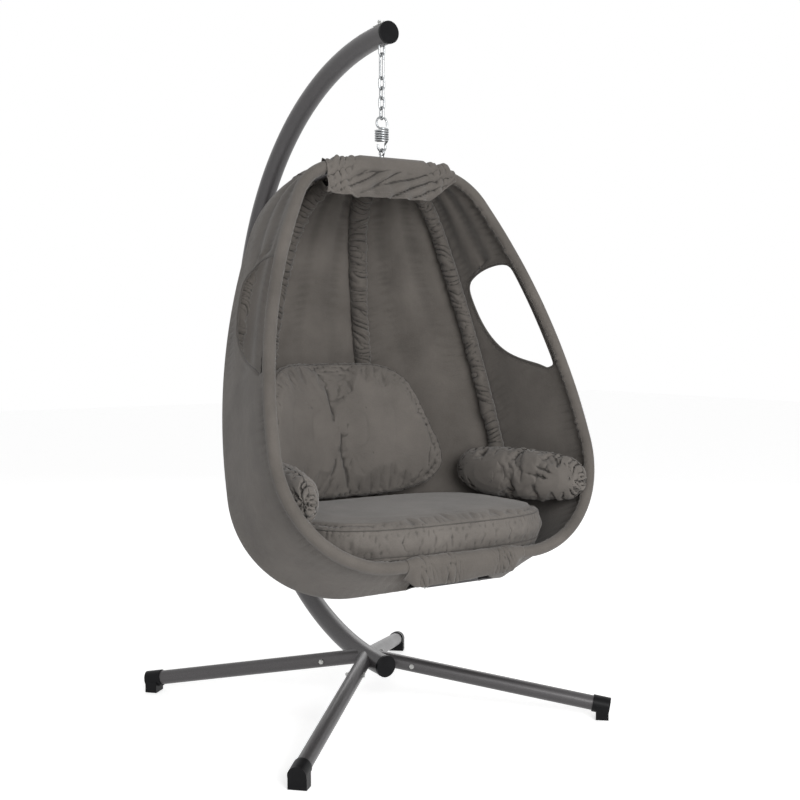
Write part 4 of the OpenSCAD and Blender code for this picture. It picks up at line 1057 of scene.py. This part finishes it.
def springPath():
    s = springSettings
    r, low, hookSteps, bendSteps = s["coilRadius"], s["lowHook"], s["hookSteps"], s["bendSteps"]

    def ring(radius, angle, z):
        a = math.radians(angle)
        return Vector((radius * math.cos(a), 0, z + radius * math.sin(a)))

    topCentre = s["top"] - r
    lowCentre = s["bodyLow"] - s["hookLead"] + low * math.sin(math.radians(s["hookStart"]))
    topHook = [Vector((r, 0, topCentre - r * math.sin(math.radians(s["hookTip"])) - s["tail"]))]
    topHook += [ring(r, lerp(-s["hookTip"], s["hookStart"], k / hookSteps), topCentre)
                for k in range(hookSteps + 1)]
    sweep = 360 * s["turns"] + 2 * (270 - s["coilStart"])
    steps = s["turns"] * s["turnSteps"]
    coil = []
    for k in range(steps + 1):
        a = math.radians(s["coilStart"] + sweep * k / steps)
        coil.append(Vector((r * math.cos(a), r * math.sin(a), lerp(s["bodyTop"], s["bodyLow"], k / steps))))
    lowHook = [ring(low, lerp(s["hookStart"] - 180, -180, k / hookSteps), lowCentre)
               for k in range(hookSteps + 1)]
    lowHook.append(Vector((-low, 0, lowCentre + s["tail"])))
    hookTurn = math.radians(s["hookStart"])
    hookWay = Vector((-math.sin(hookTurn), 0, math.cos(hookTurn)))
    startWay, endWay = (Vector((-math.sin(a), math.cos(a), 0)) * s["bend"]
                        for a in (math.radians(s["coilStart"]), math.radians(s["coilStart"] + sweep)))
    path = topHook + bridge(topHook[-1], hookWay * s["bend"], coil[0], startWay, bendSteps)
    path += coil + bridge(coil[-1], endWay, lowHook[0], hookWay * s["lowBend"], bendSteps) + lowHook
    return [(p + Vector((0, basket["hang"][1], 0))) * mm for p in path]


springWire = runTree("springWire", buildWireTree(), [springPath()], False, {
    "Wire radius": springSettings["wire"] * mm, "Sides": springSettings["sides"], "Material": chainZinc,
})
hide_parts("spring")
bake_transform(springWire)
print("Spring wound")

# Cushions: covers filled by cloth simulation. Lengths here are in metres, and those of a shape in mm.
paddingSettings = {
    "voxel": 0.0072, "frames": 20, "pinReach": 0.012, "leastPin": 0.05, "seamStep": 0.003,
    "puckerStart": 0.006, "dentFrom": 0.03, "grooveWidth": 0.0045, "weltStep": 0.006, "weltOut": 0.0004,
    "rings": (0.12, 0.25, 0.38, 0.5, 0.6, 0.7, 0.78, 0.85, 0.91, 0.96, 0.99),  # shares of the way to the seam
    "crown": 0.55, "bandBulge": 0.012, "bandRows": 6, "columns": 180,
    "fabric": {"quality": 4, "mass": 0.15, "tension_stiffness": 14, "compression_stiffness": 14,
               "shear_stiffness": 5, "bending_stiffness": 0.12, "use_pressure": True,
               "uniform_pressure_force": 4},
}


def squircle(a, b, power, angle):
    c, s = math.cos(math.radians(angle)), math.sin(math.radians(angle))
    return Vector((math.copysign(a * abs(c) ** (2 / power), c), math.copysign(b * abs(s) ** (2 / power), s)))


# A closed crowned form: a top, an optional side band between two seams, and a belly. Sizes are in mm.
def cushionForm(shape, place):
    shares, sides, high = (paddingSettings[key] for key in ("rings", "columns", "bandRows"))
    bulge = paddingSettings["bandBulge"]

    def swell(p):
        return (1 - p ** shape["sharp"]) ** paddingSettings["crown"]

    tops = [(p, shape["top"] * swell(p)) for p in shares]
    band = [(1.0, 0.0)]
    if shape["side"] > 0:
        band += [(1 + bulge * math.sin(math.pi * n / high), -shape["side"] * n / high)
                 for n in range(1, high)]
        band += [(1.0, -shape["side"])]
    rings = tops + band + [(p, -shape["side"] - shape["low"] * swell(p)) for p in reversed(shares)]
    outline = [squircle(shape["halfWidth"], shape["halfDepth"], shape["power"], 360 * (k + 0.5) / sides)
               for k in range(sides)]
    points = [place(Vector((0, 0, shape["top"])))]
    seams = []
    for n, (share, z) in enumerate(rings):
        ring = []
        for p in outline:
            x, y = p.x * share, p.y * share
            x *= 1 - shape.get("taper", 0) * ease(0.5 + 0.5 * y / shape["halfDepth"])
            ring.append(place(Vector((x, y, z + shape.get("curl", 0) * (x / shape["halfWidth"]) ** 2))))
        points += ring
        if n in (len(tops), len(tops) + len(band) - 1):
            seams.append(ring)
    points.append(place(Vector((0, 0, -shape["side"] - shape["low"]))))
    last = len(points) - 1
    faces = [(0, 1 + k, 1 + (k + 1) % sides) for k in range(sides)]
    for i in range(len(rings) - 1):
        for k in range(sides):
            a, b = 1 + i * sides + k, 1 + i * sides + (k + 1) % sides
            faces.append((a, a + sides, b + sides, b))
    base = last - sides
    faces += [(last, base + (k + 1) % sides, base + k) for k in range(sides)]
    return points, faces, seams


# One value or vector for each vertex, face or loop of a mesh
def readAll(items, key, width=3, kind=float):
    values = np.empty(len(items) * width, kind)
    items.foreach_get(key, values)
    return values.reshape(-1, width) if width > 1 else values


def setCoordinates(mesh, values):
    mesh.vertices.foreach_set("co", np.asarray(values, np.float32).ravel())
    mesh.update()


def applyModifiers(piece):
    piece.data = evaluatedMesh(piece)
    piece.modifiers.clear()


# Distance from every vertex to the nearest seam, and how far along that seam it is
def seamDistances(points, seams):
    samples, runs = [], []
    step = paddingSettings["seamStep"]
    for number, seam in enumerate(seams):
        for n, p in enumerate(evenPoints(seam, step, True)):
            samples.append(p)
            runs.append(n * step + number * 10)
    tree = KDTree(len(samples))
    for n, p in enumerate(samples):
        tree.insert(p, n)
    tree.balance()
    found = [tree.find(Vector(p)) for p in points]
    return np.array([f[2] for f in found]), np.array([runs[f[1]] for f in found])


# Fills the cover by cloth simulation: seams hold, the panels between them swell and wrinkle
def inflate(piece, seams, growth, cap):
    rest = readAll(piece.data.vertices, "co")
    distance, _ = seamDistances(rest, seams)
    group = piece.vertex_groups.new(name="seam")
    hold = np.exp(-(distance / paddingSettings["pinReach"]) ** 2)
    for index in np.nonzero(hold > paddingSettings["leastPin"])[0]:
        group.add([int(index)], float(hold[index]), "REPLACE")
    cloth = piece.modifiers.new("padding", "CLOTH")
    for key, value in paddingSettings["fabric"].items():
        setattr(cloth.settings, key, value)
    cloth.settings.shrink_min = -growth
    cloth.settings.vertex_group_mass = "seam"
    cloth.settings.effector_weights.gravity = 0
    cloth.point_cache.frame_start = 1
    cloth.point_cache.frame_end = paddingSettings["frames"]
    for step in range(1, paddingSettings["frames"] + 1):
        scene.frame_set(step)
    filled = evaluatedMesh(piece)
    moved = readAll(filled.vertices, "co") - rest
    bpy.data.meshes.remove(filled)
    piece.modifiers.remove(cloth)
    scene.frame_set(1)
    reach = np.linalg.norm(moved, axis=1, keepdims=True)
    moved *= np.minimum(1, cap / np.maximum(reach, 1e-9))
    setCoordinates(piece.data, rest + moved)
    piece.vertex_groups.clear()


# Puckers along the seams, soft dents between them, a groove at each seam, and gathers at a pillow's ends
def cushionRelief(settings, values, seams, place):
    distance, run = seamDistances(values, seams)
    pitch, depth, reach = settings["pucker"]
    wave = np.array([wander(r / pitch, d * 18, 3.7) for r, d in zip(run, distance)])
    broad = np.array([noise.noise(Vector(p) * 11) for p in values])
    fade = np.exp(-np.maximum(distance - paddingSettings["puckerStart"], 0) / reach)
    relief = depth * (np.abs(wave) * 2 - 0.45) * fade
    relief += settings["dent"] * broad * (1 - np.exp(-distance / paddingSettings["dentFrom"]))
    relief -= settings["groove"] * np.exp(-(distance / paddingSettings["grooveWidth"]) ** 2)
    for end in settings.get("gatherAt", ()):
        away = values - np.array(place(Vector(end)))
        far = np.linalg.norm(away, axis=1)
        turn = np.arctan2(away[:, 2], away[:, 1])
        spoke = np.array([abs(wander(t * 3.6, f * 9, 8.8)) * 2 - 0.4 for t, f in zip(turn, far)])
        relief += settings["gather"] * spoke * np.exp(-(far / settings["gatherReach"]) ** 2)
    return relief


# Keeps a piece inside its solid, apart from a little that cloth may stand proud
def keepInside(points, node, allowance):
    solid = surfaceOf(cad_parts[node].data)
    for n, p in enumerate(points):
        point = Vector(p)
        place, normal, _, _ = solid.find_nearest(point)
        if (point - place).dot(normal) > allowance:
            points[n] = place + normal * allowance
    return points


# Lays the cloth's UV map on flat, along the two axes that each face lies nearest to
def boxMappedCloth(mesh):
    if mesh.uv_layers.get("Cloth") is None:
        mesh.uv_layers.new(name="Cloth")
    sizes = readAll(mesh.polygons, "loop_total", 1, np.int32)
    axis = np.repeat(np.abs(readAll(mesh.polygons, "normal")).argmax(axis=1), sizes)
    places = readAll(mesh.vertices, "co")[readAll(mesh.loops, "vertex_index", 1, np.int32)]
    u = np.where(axis == 0, places[:, 1], places[:, 0])
    v = np.where(axis == 2, places[:, 1], places[:, 2])
    mesh.uv_layers["Cloth"].data.foreach_set("uv", np.stack([u, v], 1).astype(np.float32).ravel())


# Piping in each seam
def buildWelts(settings, seams, surface):
    for number, seam in enumerate(seams):
        loop = []
        for p in evenPoints(seam, paddingSettings["weltStep"], True):
            spot, normal, _, _ = surface.find_nearest(p)
            loop.append(spot + normal * paddingSettings["weltOut"])
        welt = tubeMesh(settings["name"] + "Welt" + str(number + 1), smoothLoop(loop, 2), settings["welt"],
                        tapeCanvas, 8, closed=True)
        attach(welt, "basket")


def buildCushion(settings, place):
    points, faces, seams = cushionForm(settings["shape"], place)
    mesh = bpy.data.meshes.new(settings["name"])
    mesh.from_pydata(points, [], faces)
    piece = placeMesh(settings["name"], mesh, cushionCanvas)
    closeMesh(mesh)
    even = piece.modifiers.new("even", "REMESH")
    even.mode = "VOXEL"
    even.voxel_size = paddingSettings["voxel"]
    applyModifiers(piece)
    inflate(piece, seams, settings["growth"], settings["cap"])
    fine = piece.modifiers.new("fine", "SUBSURF")
    fine.levels = fine.render_levels = 1
    applyModifiers(piece)
    cover = piece.data
    values = readAll(cover.vertices, "co")
    relief = cushionRelief(settings, values, seams, place)
    values = values + readAll(cover.vertices, "normal") * relief[:, None]
    setCoordinates(cover, keepInside(values, settings["node"], settings["allowance"]))
    paint(cover, cushionCanvas)
    boxMappedCloth(cover)
    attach(piece, "basket")
    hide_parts(settings["node"])
    buildWelts(settings, seams, surfaceOf(cover))
    print(settings["name"], "filled:", len(cover.polygons), "faces")


# A middle is in mm from the hang point. A pucker has its pitch, depth and reach in metres.
seatSettings = {
    "name": "seatCushion", "node": "seat_cushion",
    "growth": 0.05, "cap": 0.024, "fill": 0.75, "allowance": 0.002,
    "shape": {"halfWidth": 371, "halfDepth": 246, "power": 3.4, "top": 20, "side": 72, "low": 54, "sharp": 4},
    "pucker": (0.019, 0.0022, 0.022), "dent": 0.004, "groove": 0.002, "welt": 0.0019,
    "middle": (0, -120, -1025.2 + 74), "sunk": 1,
}
backSettings = {
    "name": "backCushion", "node": "back_cushion",
    "growth": 0.05, "cap": 0.026, "fill": 0.7, "allowance": 0.002,
    "shape": {"halfWidth": 320, "halfDepth": 202, "power": 4, "top": 36, "side": 26, "low": 44, "sharp": 2.6,
              "curl": 165, "taper": 0.24},
    "pucker": (0.021, 0.0032, 0.03), "dent": 0.005, "groove": 0.0022, "welt": 0.0019,
    "middle": (0, 280.1, -751), "recline": 8, "sunk": 3,
}
armSettings = {
    "growth": 0.1, "cap": 0.022, "fill": 0.55, "allowance": 0.003,
    "shape": {"halfWidth": 230, "halfDepth": 73, "power": 3.2, "top": 57, "side": 0, "low": 57, "sharp": 2.4},
    "pucker": (0.022, 0.0065, 0.035), "dent": 0.011, "groove": 0.002, "welt": 0.0017,
    "gatherAt": [(-222, 0, 0), (222, 0, 0)], "gather": 0.026, "gatherReach": 0.12,
    "middle": (397.7, -130, -868), "turn": 12,
}


def seatPlace(p):
    x, y, z = seatSettings["middle"]
    return fromHang(x + p.x, y + p.y, z + p.z - seatSettings["sunk"])


def backPlace(p):
    x, y, z = backSettings["middle"]
    lean = math.radians(90 - backSettings["recline"])
    deep = p.z - backSettings["sunk"]
    return fromHang(x + p.x, y + (p.y * math.cos(lean) - deep * math.sin(lean)),
                    z + (p.y * math.sin(lean) + deep * math.cos(lean)))


# A pillow stands on its long edge: its length runs along Y and its thickness along X
def armPlace(side):
    x, y, z = armSettings["middle"]
    turn = math.radians(armSettings["turn"] * side)

    def place(p):
        return fromHang(side * x + p.z * math.cos(turn) - p.x * math.sin(turn),
                        y + p.z * math.sin(turn) + p.x * math.cos(turn), z + p.y)
    return place


buildCushion(seatSettings, seatPlace)
buildCushion(backSettings, backPlace)
for side, label in ((-1, "Left"), (1, "Right")):
    pillow = dict(armSettings, name="armPillow" + label, node="arm_pillow_" + label.lower())
    buildCushion(pillow, armPlace(side))

# Metres and watts
studioSettings = {
    "floorHalf": 14, "floorLow": 0.001, "floorGlow": 0.56, "ambient": 0.5, "paper": ("#e2e2e2", "#ebebeb"),
    # name, place, target, size and power
    "lamps": [("softFront", (-1.0, -4.7, 2.0), (0, -0.2, 1.0), 2.2, 172),
              ("softSide", (-4.2, -1.2, 2.6), (0, 0, 0.9), 2.4, 6),
              ("softBack", (2.6, 3.0, 3.2), (0, 0, 1.0), 2.4, 40)],
}


# 1 for what the eye sees at once, in a mirror or through glass, and 0 for light on the object
def seenByEye(tree):
    path = addNode(tree, "ShaderNodeLightPath").outputs
    first = addNode(tree, "ShaderNodeMath", {"operation": "ADD", "use_clamp": True}, {
        0: path["Is Camera Ray"], 1: path["Is Glossy Ray"],
    })
    return addNode(tree, "ShaderNodeMath", {"operation": "ADD", "use_clamp": True}, {
        0: first.outputs[0], 1: path["Is Transmission Ray"],
    }).outputs[0]


# Matt white paper: bright to the eye, with the object's shadow on it
def whitePaper(name, dark, light):
    material, tree, shader, place = startMaterial(name, {
        "Roughness": 0.95, "Specular IOR Level": 0.1, "Emission Color": (1, 1, 1, 1),
    })
    fibres = addNode(tree, "ShaderNodeTexNoise", {"Scale": patternScale("fibre"), "Detail": 3}, {
        "Vector": place,
    })
    ramp = addNode(tree, "ShaderNodeValToRGB", {"stops": [(0, dark), (1, light)]}, {
        "Fac": fibres.outputs["Fac"],
    })
    glow = addNode(tree, "ShaderNodeMath", {"operation": "MULTIPLY", 1: studioSettings["floorGlow"]}, {
        0: seenByEye(tree),
    })
    connect(tree, shader, {"Base Color": ramp.outputs["Color"], "Emission Strength": glow.outputs[0]})
    return material


def buildFloor():
    half = studioSettings["floorHalf"]
    mesh = bpy.data.meshes.new("studioFloor")
    corners = [(-half, -half, 0), (half, -half, 0), (half, half, 0), (-half, half, 0)]
    mesh.from_pydata(corners, [], [(0, 1, 2, 3)])
    floor = placeMesh("studioFloor", mesh, whitePaper("whitePaper", *studioSettings["paper"]))
    floor.location.z = -studioSettings["floorLow"]


def buildWorld():
    world = bpy.data.worlds.new("studioWorld")
    scene.world = world
    world.use_nodes = True
    tree = world.node_tree
    background = tree.nodes["Background"]
    background.inputs["Color"].default_value = (1, 1, 1, 1)
    strength = addNode(tree, "ShaderNodeMapRange", {
        "To Min": studioSettings["ambient"], "To Max": 1.0,
    }, {"Value": seenByEye(tree)})
    connect(tree, background, {"Strength": strength.outputs["Result"]})


buildFloor()
buildWorld()
for name, place, target, size, power in studioSettings["lamps"]:
    light = bpy.data.lights.new(name, "AREA")
    light.shape = "SQUARE"
    light.size = size
    light.energy = power
    placeAimed(name, light, place, target)
scene.view_settings.view_transform = "Standard"
print("Studio lit")
